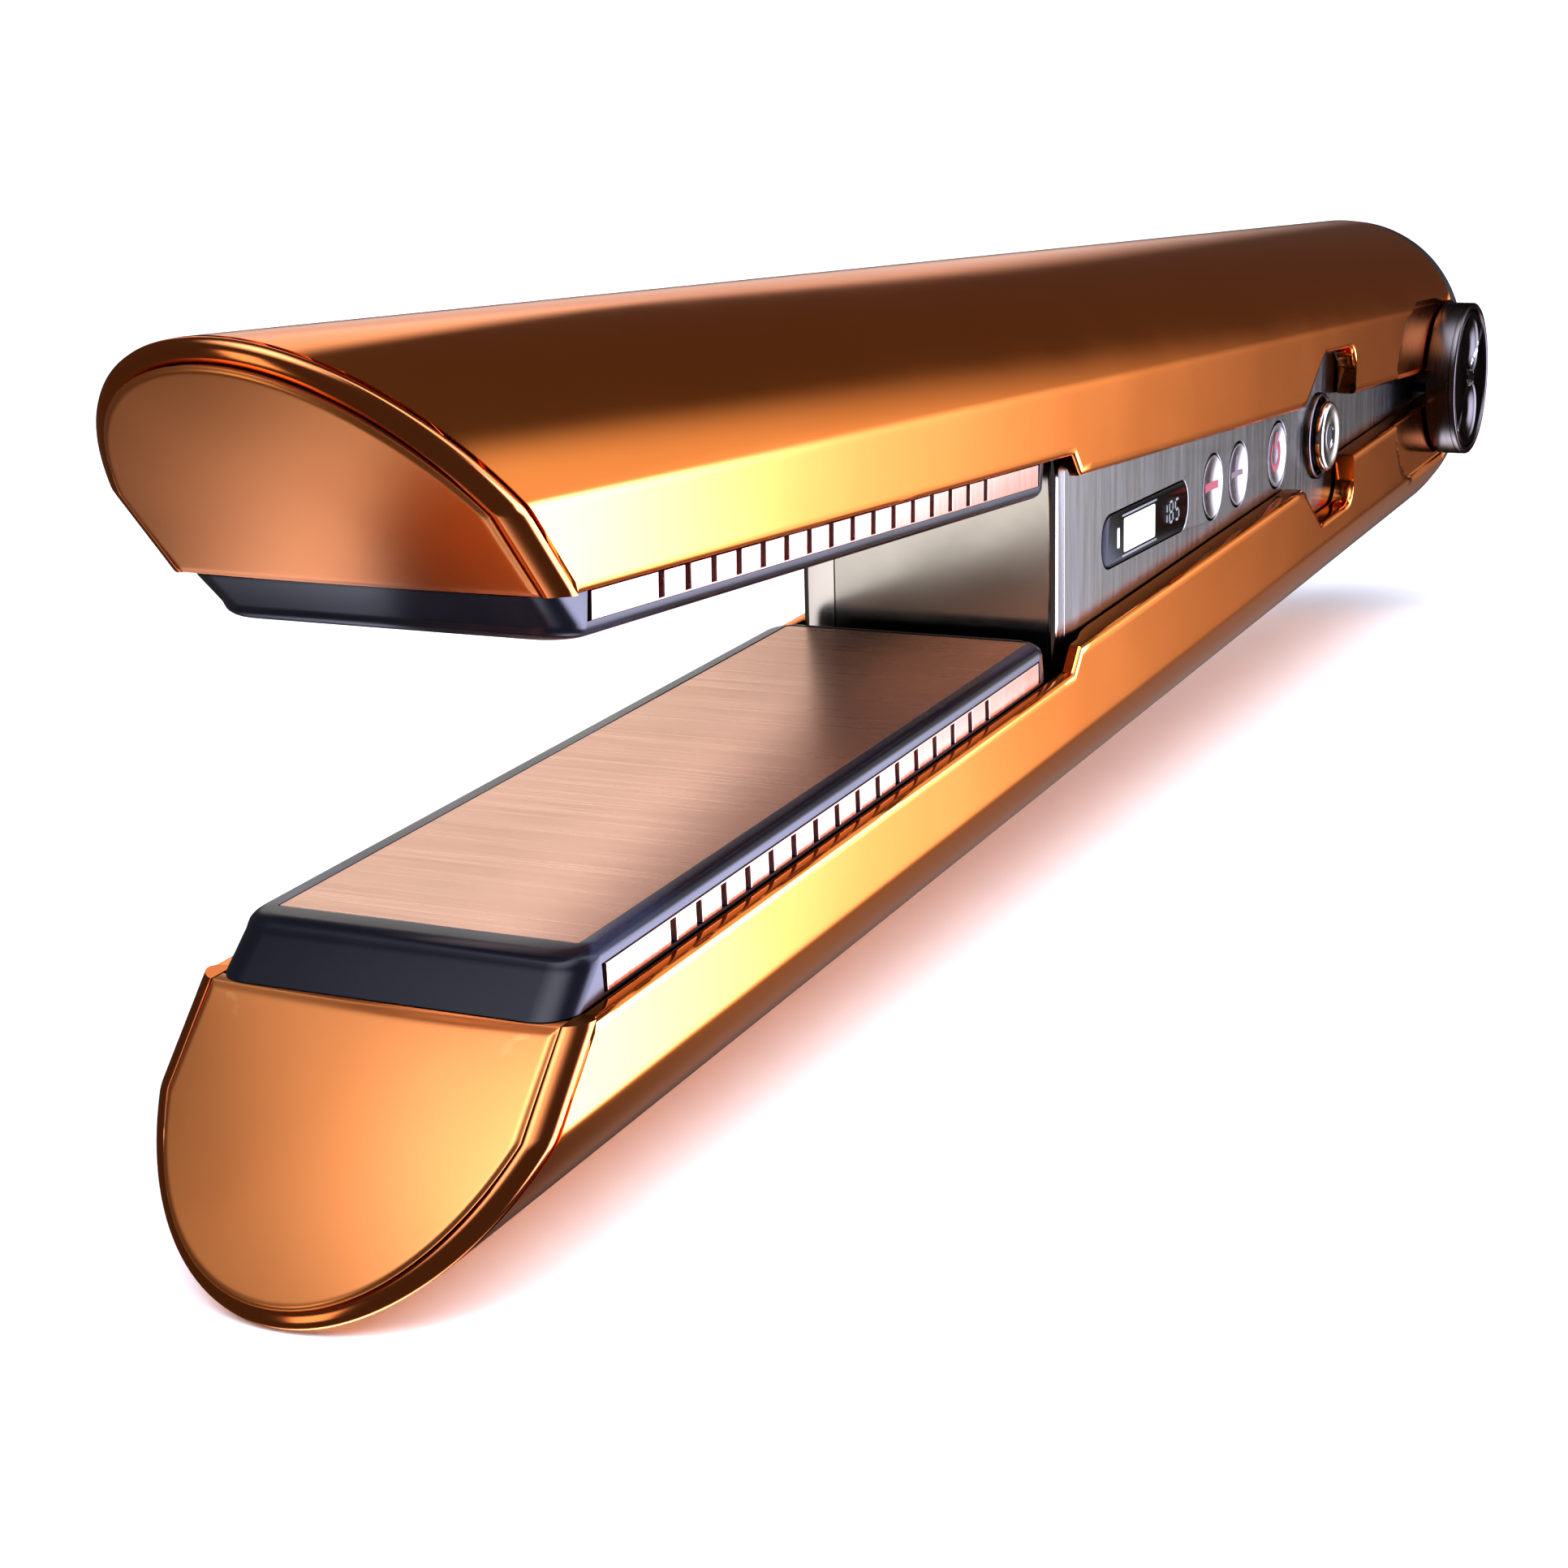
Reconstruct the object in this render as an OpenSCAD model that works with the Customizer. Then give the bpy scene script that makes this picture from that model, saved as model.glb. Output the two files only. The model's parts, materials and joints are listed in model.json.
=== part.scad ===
// Cordless hair straightener with two sprung arms, a wedge-shaped battery spine between them
// and a hinge with a round disc at the rear. The arms stand one above the other and the tips
// point along +X. All lengths are in millimetres.

/* [Arms] */
// Angle of each arm from the middle plane when open, in degrees
open_angle = 2.56; // [1.6:0.02:3]
// Half of the arm's width
arm_half_w = 17.1; // [16.9:0.1:17.3]
// Height of the back above the plate plane
back_top = 22.7; // [22.3:0.1:23.2]
// Radius of the curved back
back_r = 18.25; // [18:0.05:18.6]
// Thickness of the shell's wall
wall = 1.4; // [1.2:0.1:1.5]
// Lower edge of the shell beside the plate
plate_edge_w = 4; // [3.8:0.1:4.4]
// Lower edge of the shell beside the spine
grip_edge_w = 1.7; // [1.4:0.1:2]
// Distance from the hinge to the step between those edges
step_u = 159.5; // [159:0.5:161]
// Distance from the hinge to the lower lip of the slanted tip
tip_u = 262.9; // [262:0.1:266]

/* [Plates] */
// Front end of the heated plate, from the hinge
plate_front = 255.7; // [255:0.1:256]
// Rear end of the heated plate, from the hinge
plate_rear = 163.2; // [163:0.1:164.2]
// Half of the plate's width
plate_half_w = 13.35; // [12.8:0.05:13.4]
// Number of slots in each side of the plate
slot_count = 16; // [12:1:16]
// Distance from slot to slot
slot_pitch = 4.352; // [4.2:0.01:4.4]
// Width of a slot
slot_w = 0.95; // [0.6:0.05:1.2]

/* [Spine] */
// Front face of the spine, from the hinge
spine_front = 157.4; // [156:0.1:157.6]
// Half of the spine's width
spine_half_w = 14.3; // [14:0.1:14.5]
// Half of the spine's height at the front
spine_front_h = 11; // [10:0.1:11.4]
// Half of the spine's height at the hinge
spine_rear_h = 6.4; // [6.2:0.1:6.8]
// Length of the display window
window_l = 29.4; // [26:0.1:31]
// Height of the display window
window_h = 5.9; // [5.4:0.1:8]

/* [Controls] */
// Radius of the minus and plus buttons
button_r = 3.7; // [3.4:0.05:3.8]
// Radius of the power button
power_r = 4; // [3.6:0.05:4.1]
// Travel of the three buttons
button_travel = 0.5; // [0.3:0.1:0.5]
// Radius of the lock button
lock_r = 4.5; // [4:0.1:4.5]
// Height of the lock button above the spine's side
lock_proud = 1.9; // [1.5:0.1:2.2]

/* [Hinge] */
// Radius of the hinge disc
disc_r = 11; // [10:0.1:11]
// Outer face of the hinge disc, from the middle plane
disc_face_y = 20.7; // [20:0.1:21]
// Radius of the hinge barrel at the rear
barrel_r = 12; // [11.5:0.1:12]
// Radius of the hinge pin
pin_r = 2.5; // [2.2:0.1:2.6]

/* [Hidden] */

$fn = 96;
e = 0.01;            // sliver that keeps cut faces apart
big = 400;           // larger than the object

copper = [0.80, 0.45, 0.20];
satin_copper = [0.88, 0.55, 0.30];
rose = [0.90, 0.70, 0.62];
navy = [0.10, 0.11, 0.17];
nickel = [0.65, 0.65, 0.64];
steel = [0.75, 0.75, 0.76];
gunmetal = [0.22, 0.20, 0.19];
black = [0.06, 0.06, 0.06];
board_green = [0.08, 0.30, 0.16];

// Section of an arm
back_c = back_top - back_r;                  // height of the back's centre
inner_r = back_r - wall;
inner_half_w = arm_half_w - wall;
tip_slope = 45;                              // slant of the tip, in degrees
trim_depth = 1.4;                            // depth of the tip's trim along the arm
cap_inset = 1.3;                             // width of the trim's rim
rear_cut_u = -1.5;                           // rear end of the shells
cover_depth = 7;                             // depth of the rear covers
notch_rear_u = 52;                           // notch around the lock button
notch_top_rear_u = 55;
notch_top_front_u = 67.2;
notch_front_u = 75.6;
notch_top_w = 7.9;
notch_round = 3;
step_run = 2.2;                              // length of the sloped step in the shell's edge
pocket_r = 11.6;                             // oval recess beside the hinge disc
pocket_u = 18;
pocket_floor_y = 16.2;
pin_end_y = 14.9;                            // end of the pin on the plain side
disc_bore_y = 18;                            // end of the pin inside the disc
disc_screw_r = 1.4;
disc_gap = 0.4;
cap_hole_r = 6.4;                            // cut-out in the shells around the hinge cap

// Plate and its frame
plate_top_w = 0.15;
plate_t = 1.5;
skirt_bottom_w = 3.6;
skirt_half_w = 15.55;
skirt_rear_u = 165.8;                        // rear end of the row of fingers
skirt_inner_y = 10.5;
first_slot_u = 245;
frame_base_w = 3.9;
frame_mid_w = 0.9;
frame_top_w = 0.1;
frame_base_half = 15.45;
frame_mid_half = 15.35;
frame_top_half = 14.6;
frame_front_u = 262.5;
frame_rear_u = 161.6;
frame_depth_w = 9;
frame_tray_half = 14.6;
frame_tray_wall = 1.2;
frame_tray_rear_u = 170;                     // rear end of the hollow for the heater
window_top_w = 1.4;                          // top of the openings for the plate's fingers

// Inside the arms
heater_len = 74;
heater_half_w = 9.8;
heater_mid_u = 212.5;
heater_w = [1.7, 2.5];
clamp_w = [2.6, 4.4];
insulator_w = [4.5, 7.2];
chassis_w = [13, 14.8];
spring_us = [184, 212.5, 241];
board_us = [36, 118];
board_w = [15, 16.2];
chassis_rear_u = -4;
lug_web_u = 6;                               // front of the web above a hinge lug
lug_r = 6.4;
bush_r = 3.6;
pin_fit = 0.05;
upper_lug_y = [5, 7.9];
lower_lug_y = [8.2, 11];
cheek_y = [11.3, 13];
screw_us = [166.4, 258];
screw_y = 6.5;
screw_r = 1;
lead_y = 4;
lead_r = 0.4;
lead_down_u = 171.85;

// Spine
spine_rear = 14;
spine_wall = 1.4;
spine_edge_r = 0.8;
tongue_half_w = 10;                          // tongue that joins the hinge block to the spine
tongue_half_h = 3.6;
trim_t = 1.2;
seam_y = -10.4;                              // seam of the left side cover
lobe_r = 12.4;                              // lobes of the side plate around the lock button
minus_x = 104.9;
plus_x = 94.8;
power_x = 78.4;
lock_x = 60;
display_x = 128.8;
control_z = -0.4;
display_z = -0.85;
lock_z = -0.5;
window_corner_r = 2.6;
button_gap = 0.25;
button_top_y = 14.4;
flange_extra = 0.7;
cell_size = [49, 16.6, 5.6];
cell_y = -12.2;
cell_gap = 0.2;

socket_half = [6.6, 2.6];                    // recess for the contacts, half width and half height
contact_ys = [-4, 0, 4];
contact_r = 1.1;

// Hinge and overall placing
cos_a = cos(open_angle);
sin_a = sin(open_angle);
tip_top_u = tip_u + (back_top - plate_edge_w) * tan(tip_slope);
front_x = tip_top_u * cos_a - back_top * sin_a;
hinge_z = tip_top_u * sin_a + back_top * cos_a;
mid_x = (front_x - barrel_r) / 2;
mid_y = (disc_face_y - arm_half_w) / 2;

function spine_h(x) = spine_rear_h + (spine_front_h - spine_rear_h) * x / spine_front;

// Places the hinge so that the open straightener stands on z = 0 around the origin
module placed() {
  translate([-mid_x, -mid_y, hinge_z]) children();
}

// Arm coordinates: X along the arm, Y across, Z away from the plate plane
module upper() {
  placed() rotate([0, -open_angle, 0]) children();
}

module lower() {
  placed() mirror([0, 0, 1]) rotate([0, -open_angle, 0]) children();
}

// Extrudes a Y-Z outline along X between two stations
module along(u0, u1) {
  translate([u0, 0, 0]) rotate([90, 0, 90]) linear_extrude(u1 - u0) children();
}

// Extrudes an X-Z outline along Y between two stations
module across(y0, y1) {
  translate([0, y1, 0]) rotate([90, 0, 0]) linear_extrude(y1 - y0) children();
}

// Round bar along Y
module bar_y(x, z, r, y0, y1) {
  translate([x, y0, z]) rotate([-90, 0, 0]) cylinder(h = y1 - y0, r = r);
}

// Repeats a shape on both sides of the middle plane
module both_sides() {
  children();
  mirror([0, 1, 0]) children();
}

// Box given by its corners
module block(a, b) {
  translate(a) cube(b - a);
}

module rounded_rect(l, h, r) {
  square([l - 2 * r, h], center = true);
  square([l, h - 2 * r], center = true);
  for (sx = [-1, 1], sz = [-1, 1]) translate([sx * (l / 2 - r), sz * (h / 2 - r)]) circle(r);
}

// D-shaped outline of an arm, shrunk by an inset, above a lower edge
module d_outline(inset, edge_w) {
  intersection() {
    translate([0, back_c]) circle(back_r - inset, $fn = 180);
    translate([-(arm_half_w - inset), edge_w]) square([2 * (arm_half_w - inset), big]);
  }
}

// Everything ahead of the slanted tip plane, moved back by an amount along the arm
module ahead_of_tip(back_off) {
  translate([tip_u - back_off, 0, plate_edge_w]) rotate([0, 90 - tip_slope, 0])
    translate([0, -big / 2, -big / 2]) cube(big);
}

// Edge of the shell: low beside the spine, higher beside the plate, with a notch
module edge_cut() {
  across(-big / 2, big / 2) polygon([
    [step_u - step_run, -big], [step_u - step_run, grip_edge_w], [step_u, plate_edge_w],
    [big, plate_edge_w], [big, -big]]);
  across(0, big / 2) {
    polygon([[notch_rear_u, 0], [notch_rear_u, notch_top_w - notch_round],
             [notch_top_rear_u, notch_top_w], [notch_top_front_u, notch_top_w],
             [notch_front_u, grip_edge_w], [notch_front_u, 0]]);
    translate([notch_top_rear_u, notch_top_w - notch_round]) circle(notch_round);
  }
}

module shell() {
  color(copper) difference() {
    along(rear_cut_u, big) d_outline(0, grip_edge_w);
    along(rear_cut_u - 1, big) d_outline(wall, -big / 2);
    ahead_of_tip(trim_depth);
    edge_cut();
    for (u = [0, pocket_u]) bar_y(u, 0, pocket_r, pocket_floor_y, big);
    block([0, pocket_floor_y, -pocket_r], [pocket_u, big, pocket_r]);
    bar_y(0, 0, cap_hole_r, -big, big);
  }
}

// Bright rim between the shell and the end cap
module tip_trim() {
  color(copper) difference() {
    along(tip_u - 20, big) d_outline(0, plate_edge_w);
    along(tip_u - 21, big) d_outline(cap_inset, -big / 2);
    ahead_of_tip(0);
    difference() {
      translate([-big / 2, -big, -big]) cube([2 * big, 2 * big, 2 * big]);
      ahead_of_tip(trim_depth);
    }
  }
}

// Cap that closes the slanted tip, a little proud of the trim
module end_cap() {
  proud = 0.4;
  color(satin_copper) difference() {
    along(tip_u - 20, big) d_outline(cap_inset + 0.1, plate_edge_w);
    ahead_of_tip(-proud);
    difference() {
      translate([-big / 2, -big, -big]) cube([2 * big, 2 * big, 2 * big]);
      ahead_of_tip(trim_depth - 0.05);
    }
  }
}

// Flat slab with rounded corners, used to build the tapered frame
module frame_slab(u0, u1, half, w, r) {
  translate([(u0 + u1) / 2, 0, w]) linear_extrude(0.05) rounded_rect(u1 - u0, 2 * half, r, $fn = 32);
}

module frame_body() {
  hull() {
    frame_slab(frame_rear_u, frame_front_u, frame_base_half, frame_base_w, 3);
    frame_slab(frame_rear_u + 0.3, frame_front_u - 3.3, frame_mid_half, frame_mid_w, 3);
    frame_slab(frame_rear_u + 0.9, frame_front_u - 4.3, frame_top_half, frame_top_w, 3);
  }
}

// Screw axes, starting at the bottom of the screw holes
module screw_places() {
  for (u = screw_us) both_sides() translate([u, screw_y, frame_depth_w - 4]) children();
}

// Tapered surround that carries the plate
module plate_frame() {
  plate_gap_u = 0.2;
  plate_gap_y = 0.1;
  window_rear_u = skirt_rear_u - 0.6;
  window_front_u = plate_front + 0.4;
  color(navy) difference() {
    union() {
      frame_body();
      block([frame_rear_u + 1, -frame_tray_half, frame_base_w - 1],
            [frame_front_u - 2.4, frame_tray_half, frame_depth_w]);
    }
    block([plate_rear - plate_gap_u, -plate_half_w - plate_gap_y, -1],
          [plate_front + plate_gap_u, plate_half_w + plate_gap_y, 2]);
    block([window_rear_u, -big, window_top_w], [window_front_u, big, skirt_bottom_w + 0.1]);
    block([frame_tray_rear_u, -frame_tray_half + frame_tray_wall, 1],
          [window_front_u, frame_tray_half - frame_tray_wall, big]);
    screw_places() cylinder(h = big, r = screw_r + 0.05);
  }
}

// Copper plate with a skirt of fingers at each side
module plate() {
  color(rose) difference() {
    union() {
      block([plate_rear, -plate_half_w, plate_top_w], [plate_front, plate_half_w, plate_top_w + plate_t]);
      both_sides() {
        block([skirt_rear_u, skirt_inner_y, window_top_w + 0.05],
              [plate_front, skirt_half_w, skirt_bottom_w]);
        block([skirt_rear_u, skirt_inner_y, plate_top_w + e],
              [plate_front, plate_half_w - 1, skirt_bottom_w - e]);
      }
    }
    for (i = [0 : slot_count - 1]) both_sides()
      block([first_slot_u - i * slot_pitch - slot_w / 2, skirt_inner_y + 0.8, plate_top_w + plate_t],
            [first_slot_u - i * slot_pitch + slot_w / 2, big, big]);
  }
}

module slab_at(mid_u, len, half_w, w) {
  block([mid_u - len / 2, -half_w, w[0]], [mid_u + len / 2, half_w, w[1]]);
}

module heater() {
  color("dimgray") slab_at(heater_mid_u, heater_len, heater_half_w, heater_w);
}

module heater_clamp() {
  overhang = 2;
  dimple_r = 2;
  floor_t = 1;
  color("silver") difference() {
    slab_at(heater_mid_u, heater_len + 2 * overhang, heater_half_w, clamp_w);
    for (u = spring_us) translate([u, 0, clamp_w[0] + floor_t]) cylinder(h = 5, r = dimple_r);
  }
}

module insulator() {
  overhang = 3;
  color("beige") slab_at(heater_mid_u, heater_len + 2 * overhang, heater_half_w + 1, insulator_w);
}

// Points of a wire ring at one place on a helix about Z
function helix_ring(r, pitch, wire_r, turn, sides) =
  [for (j = [0 : sides - 1])
    let (a = 360 * turn, b = 360 * j / sides, q = r + wire_r * cos(b))
    [q * cos(a), q * sin(a), pitch * turn + wire_r * sin(b)]];

// Coil spring about Z from z = 0
module coil(r, pitch, wire_r, turns, sides, steps) {
  n = floor(turns * steps);
  points = [for (i = [0 : n]) each helix_ring(r, pitch, wire_r, i / steps, sides)];
  sidewalls = [for (i = [0 : n - 1], j = [0 : sides - 1])
    let (k = (j + 1) % sides)
    [i * sides + j, i * sides + k, (i + 1) * sides + k, (i + 1) * sides + j]];
  first = [for (j = [0 : sides - 1]) sides - 1 - j];
  last = [for (j = [0 : sides - 1]) n * sides + j];
  polyhedron(points, concat([first], sidewalls, [last]));
}

module press_springs() {
  wire = 0.35;
  turns = 4;
  rise = chassis_w[0] - insulator_w[1] - 2 * wire - 0.1;
  color(steel) for (u = spring_us) translate([u, 0, insulator_w[1] + wire + 0.05])
    coil(2.6, rise / turns, wire, turns, 6, 12);
}

// Ring and web that carry the arm on the hinge pin
module lug(y0, y1) {
  difference() {
    union() {
      bar_y(0, 0, lug_r, y0, y1);
      block([chassis_rear_u, y0, 0], [lug_web_u, y1, chassis_w[1]]);
    }
    bar_y(0, 0, bush_r, y0 - 1, y1 + 1);
  }
}

// Inner beam of an arm, with the lugs of the hinge
module chassis(lug_y) {
  rib_h = 1.6;
  rib_y = [9.2, 10.4];
  rib_us = [6, 252];
  wide = 11.4;                               // half width over the frame's ends and at the grip
  narrow = 8.6;                              // half width above the heater
  rear_pad_us = [frame_rear_u, frame_rear_u + 9.2];
  front_pad_us = [253, frame_front_u - 1.2];
  pad_w = frame_depth_w + 0.1;
  opening_r = 4;
  color(black) {
    difference() {
      union() {
        block([chassis_rear_u, -wide, chassis_w[0]], [frame_rear_u, wide, chassis_w[1]]);
        block([rear_pad_us[0] - e, -wide, pad_w], [rear_pad_us[1], wide, chassis_w[1]]);
        block([rear_pad_us[1] - 0.2, -narrow, chassis_w[0]], [front_pad_us[0] + 1, narrow, chassis_w[1]]);
        block([front_pad_us[0], -wide, pad_w], [front_pad_us[1], wide, chassis_w[1]]);
        both_sides() block([rib_us[0], rib_y[0], chassis_w[1] - e],
                           [rib_us[1], rib_y[1], chassis_w[1] + rib_h]);
      }
      screw_places() cylinder(h = big, r = screw_r + 0.1);
      both_sides() translate([lead_down_u, lead_y, 0]) cylinder(h = big, r = lead_r + 0.3);
      for (u = [24 : 24 : 144]) translate([u, 0, 0]) cylinder(h = big, r = opening_r);
    }
    both_sides() lug(lug_y[0], lug_y[1]);
  }
}

module bushes(lug_y) {
  color("peru") both_sides() difference() {
    bar_y(0, 0, bush_r, lug_y[0], lug_y[1]);
    bar_y(0, 0, pin_r + pin_fit, lug_y[0] - 1, lug_y[1] + 1);
  }
}

module power_board() {
  half_w = 8.4;
  chip = [7, 6, 1.4];
  chip_pitch = 15;
  first_chip = 6;
  color(board_green) {
    block([board_us[0], -half_w, board_w[0]], [board_us[1], half_w, board_w[1]]);
    for (i = [0 : 4]) translate([board_us[0] + first_chip + chip_pitch * i, -chip[1] / 2, board_w[1] - e])
      cube([chip[0], chip[1], chip[2] + e]);
  }
}

// Insulated wires from the board to the heater
module heater_leads() {
  u0 = board_us[1] - 4;
  u2 = heater_mid_u - heater_len / 2 - 0.05;
  top = board_w[1] + lead_r + 0.05;
  low = (heater_w[0] + heater_w[1]) / 2;
  color("firebrick") both_sides() {
    translate([u0, lead_y, top]) rotate([0, 90, 0]) cylinder(h = lead_down_u - u0, r = lead_r);
    translate([lead_down_u, lead_y, low]) cylinder(h = top - low, r = lead_r);
    translate([lead_down_u, lead_y, low]) rotate([0, 90, 0]) cylinder(h = u2 - lead_down_u, r = lead_r);
    for (w = [low, top]) translate([lead_down_u, lead_y, w]) sphere(lead_r, $fn = 24);
  }
}

// Black cover over the rear end of an arm, open around the hinge barrel
module rear_cover() {
  dome_r = 45;
  dome_w = 8;
  step_in = 0.25;                            // set back from the shell's skin
  wall_in = wall + 0.4;
  end_wall = 1.6;
  slot_half_w = 13.9;                        // opening for the hinge barrel
  slot_top_w = barrel_r + 0.5;
  end_u = rear_cut_u - cover_depth;
  color(black) difference() {
    intersection() {
      along(end_u, rear_cut_u) d_outline(step_in, grip_edge_w);
      translate([end_u + dome_r, 0, dome_w]) sphere(dome_r, $fn = 360);
    }
    along(end_u + end_wall, 0) d_outline(wall_in, -big / 2);
    block([-big, -slot_half_w, -big], [big, slot_half_w, slot_top_w]);
    bar_y(0, 0, disc_r + disc_gap, pocket_floor_y, big);
    bar_y(0, 0, cap_hole_r, -big, big);
  }
}

module screws() {
  head_r = 1.9;
  head_h = 1.4;
  drive_r = 0.9;
  end_gap = 0.2;
  shank = chassis_w[1] - frame_depth_w + 4;
  color(steel) screw_places() {
    translate([0, 0, end_gap]) cylinder(h = shank, r = screw_r);
    difference() {
      translate([0, 0, shank]) cylinder(h = head_h, r = head_r);
      translate([0, 0, shank + head_h / 2]) cylinder(h = head_h, r = drive_r, $fn = 6);
    }
  }
}

// Side outline of the spine, shrunk by an inset
module spine_outline(inset, front_off) {
  f = spine_front - front_off;
  polygon([[spine_rear + front_off, -spine_h(spine_rear) + inset], [f, -spine_h(f) + inset],
           [f, spine_h(f) - inset], [spine_rear + front_off, spine_h(spine_rear) - inset]]);
}

// Plan of the spine with its rounded front edges
module spine_plan() {
  r = spine_edge_r;
  union() {
    translate([0, -spine_half_w]) square([spine_front - r, 2 * spine_half_w]);
    translate([0, -spine_half_w + r]) square([spine_front, 2 * (spine_half_w - r)]);
    for (s = [-1, 1]) translate([spine_front - r, s * (spine_half_w - r)]) circle(r);
  }
}

module spine_solid(y0, y1) {
  intersection() {
    across(y0, y1) spine_outline(0, 0);
    translate([0, 0, -big / 2]) linear_extrude(big) spine_plan();
  }
}

module control_holes(extra, y0) {
  for (b = [[minus_x, button_r], [plus_x, button_r], [power_x, power_r]])
    bar_y(b[0], control_z, b[1] + extra, y0, big);
  bar_y(lock_x, lock_z, lock_r + extra, y0, big);
}

module spine_housing() {
  inner_y = spine_half_w - trim_t - spine_wall;
  lip_u = 2.4;                               // frame left in front of the side plate
  hole_y = 5;
  tongue_gap = 0.1;
  light_lip = [2, 1.6];                      // how much smaller the light opening is than the window
  tongue_y = tongue_half_w + tongue_gap;
  tongue_z = tongue_half_h + tongue_gap;
  color(nickel) placed() difference() {
    spine_solid(seam_y, spine_half_w);
    across(seam_y - 1, inner_y) spine_outline(spine_wall, spine_wall);
    block([-1, spine_half_w - trim_t, -big], [spine_front - lip_u, big, big]);
    control_holes(flange_extra + 0.3, hole_y);
    block([0, -tongue_y, -tongue_z], [spine_rear + 6, tongue_y, tongue_z]);
    across(hole_y, big) translate([display_x, display_z])
      rounded_rect(window_l - light_lip[0], window_h - light_lip[1], 1.4);
  }
}

module spine_side_cover() {
  color(nickel) placed() difference() {
    spine_solid(-spine_half_w, seam_y - 0.15);
    across(-spine_half_w + spine_wall, 0) spine_outline(spine_wall, spine_wall);
  }
}

// Plate on the display side, with the round lobes around the lock button
module spine_side_trim() {
  y0 = spine_half_w - trim_t;
  rear = [9, 4.6];                           // station and half height of the rear end
  bend_x = spine_rear + 20;
  bend_h = spine_h(bend_x) - 0.4;
  front = spine_front - 2.5;
  front_h = spine_h(front) - 0.1;
  color(nickel) placed() difference() {
    across(y0 + 0.02, spine_half_w) difference() {
      union() {
        polygon([[rear[0], -rear[1]], [bend_x, -bend_h], [front, -front_h],
                 [front, front_h], [bend_x, bend_h], rear]);
        translate([lock_x, lock_z]) circle(lobe_r);
      }
      translate([display_x, display_z]) rounded_rect(window_l, window_h, window_corner_r);
    }
    control_holes(button_gap, 5);
  }
}

module display_window() {
  color(black) placed() across(spine_half_w - trim_t + 0.05, spine_half_w - 0.15)
    translate([display_x, display_z])
      rounded_rect(window_l - 0.2, window_h - 0.2, window_corner_r - 0.1);
}

module display_module() {
  color("dimgray") placed() across(10, spine_half_w - trim_t - 0.05)
    translate([display_x, display_z]) square([window_l - 4, window_h - 2.4], center = true);
}

// Round button with a dished face, a flange behind the side plate and a stem
module button(x, r) {
  dish_r = 14;
  dish = 0.45;
  flange_y = spine_half_w - trim_t - 0.05;
  color(steel) placed() {
    difference() {
      bar_y(x, control_z, r, flange_y - e, button_top_y);
      translate([x, button_top_y - dish + dish_r, control_z]) sphere(dish_r, $fn = 120);
    }
    bar_y(x, control_z, r + flange_extra - 0.1, flange_y - 0.8, flange_y);
    bar_y(x, control_z, 1.2, flange_y - 2.2, flange_y - 0.5);
  }
}

module button_switches() {
  top = spine_half_w - trim_t - 0.05 - 2.2 - button_travel - 0.1;
  color(gunmetal) placed() for (x = [minus_x, plus_x, power_x]) {
    block([x - 2.2, 8.6, control_z - 2.2], [x + 2.2, top - 0.4, control_z + 2.2]);
    bar_y(x, control_z, 1.2, top - 0.5, top);
  }
}

// Polished lock button with a dark hole in the middle
module lock_button() {
  top = spine_half_w + lock_proud;
  flange_y = spine_half_w - trim_t - 0.05;
  color(steel) placed() difference() {
    union() {
      bar_y(lock_x, lock_z, lock_r, flange_y - e, top);
      bar_y(lock_x, lock_z, lock_r + flange_extra - 0.1, flange_y - 0.8, flange_y);
    }
    bar_y(lock_x, lock_z, 1.3, top - 1.6, top + 1);
  }
}

module lock_plunger() {
  top = spine_half_w - trim_t - 0.05 - 0.8;
  color(gunmetal) placed() {
    bar_y(lock_x, lock_z, 2.2, 7, top);
    block([lock_x - 6, 6.4, lock_z - 1.6], [lock_x + 6, 7.8, lock_z + 1.6]);
  }
}

module lock_collar() {
  color(gunmetal) placed() difference() {
    bar_y(lock_x, lock_z, lock_r + 1.15, spine_half_w, spine_half_w + 0.6);
    bar_y(lock_x, lock_z, lock_r + button_gap, 5, big);
  }
}

module control_board() {
  board_xs = [70, 150];
  board_ys = [7.4, 8.6];
  edge_gap = 2;
  hole_in = 3;
  h0 = spine_h(board_xs[0]) - edge_gap;
  h1 = spine_h(board_xs[1]) - edge_gap;
  color(board_green) placed() difference() {
    across(board_ys[0], board_ys[1])
      polygon([[board_xs[0], -h0], [board_xs[1], -h1], [board_xs[1], h1], [board_xs[0], h0]]);
    for (x = [board_xs[0] + hole_in, board_xs[1] - hole_in]) bar_y(x, 0, 1.2, 0, 20);
  }
}

module battery_cell(column, row) {
  first_x = 46;
  x = first_x + column * (cell_size[0] + 2);
  z = row > 0 ? cell_gap : -cell_gap - cell_size[2];
  r = 1.2;
  color("seagreen") placed() translate([x, cell_y, z]) along(0, cell_size[0])
    translate([cell_size[1] / 2, cell_size[2] / 2]) rounded_rect(cell_size[1], cell_size[2], r);
}

module battery_sheet() {
  sheet_xs = [44, 150];
  half_t = 0.15;
  color("beige") placed() block([sheet_xs[0], cell_y - 0.1, -half_t],
                                [sheet_xs[1], cell_y + cell_size[1] + 0.4, half_t]);
}

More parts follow.
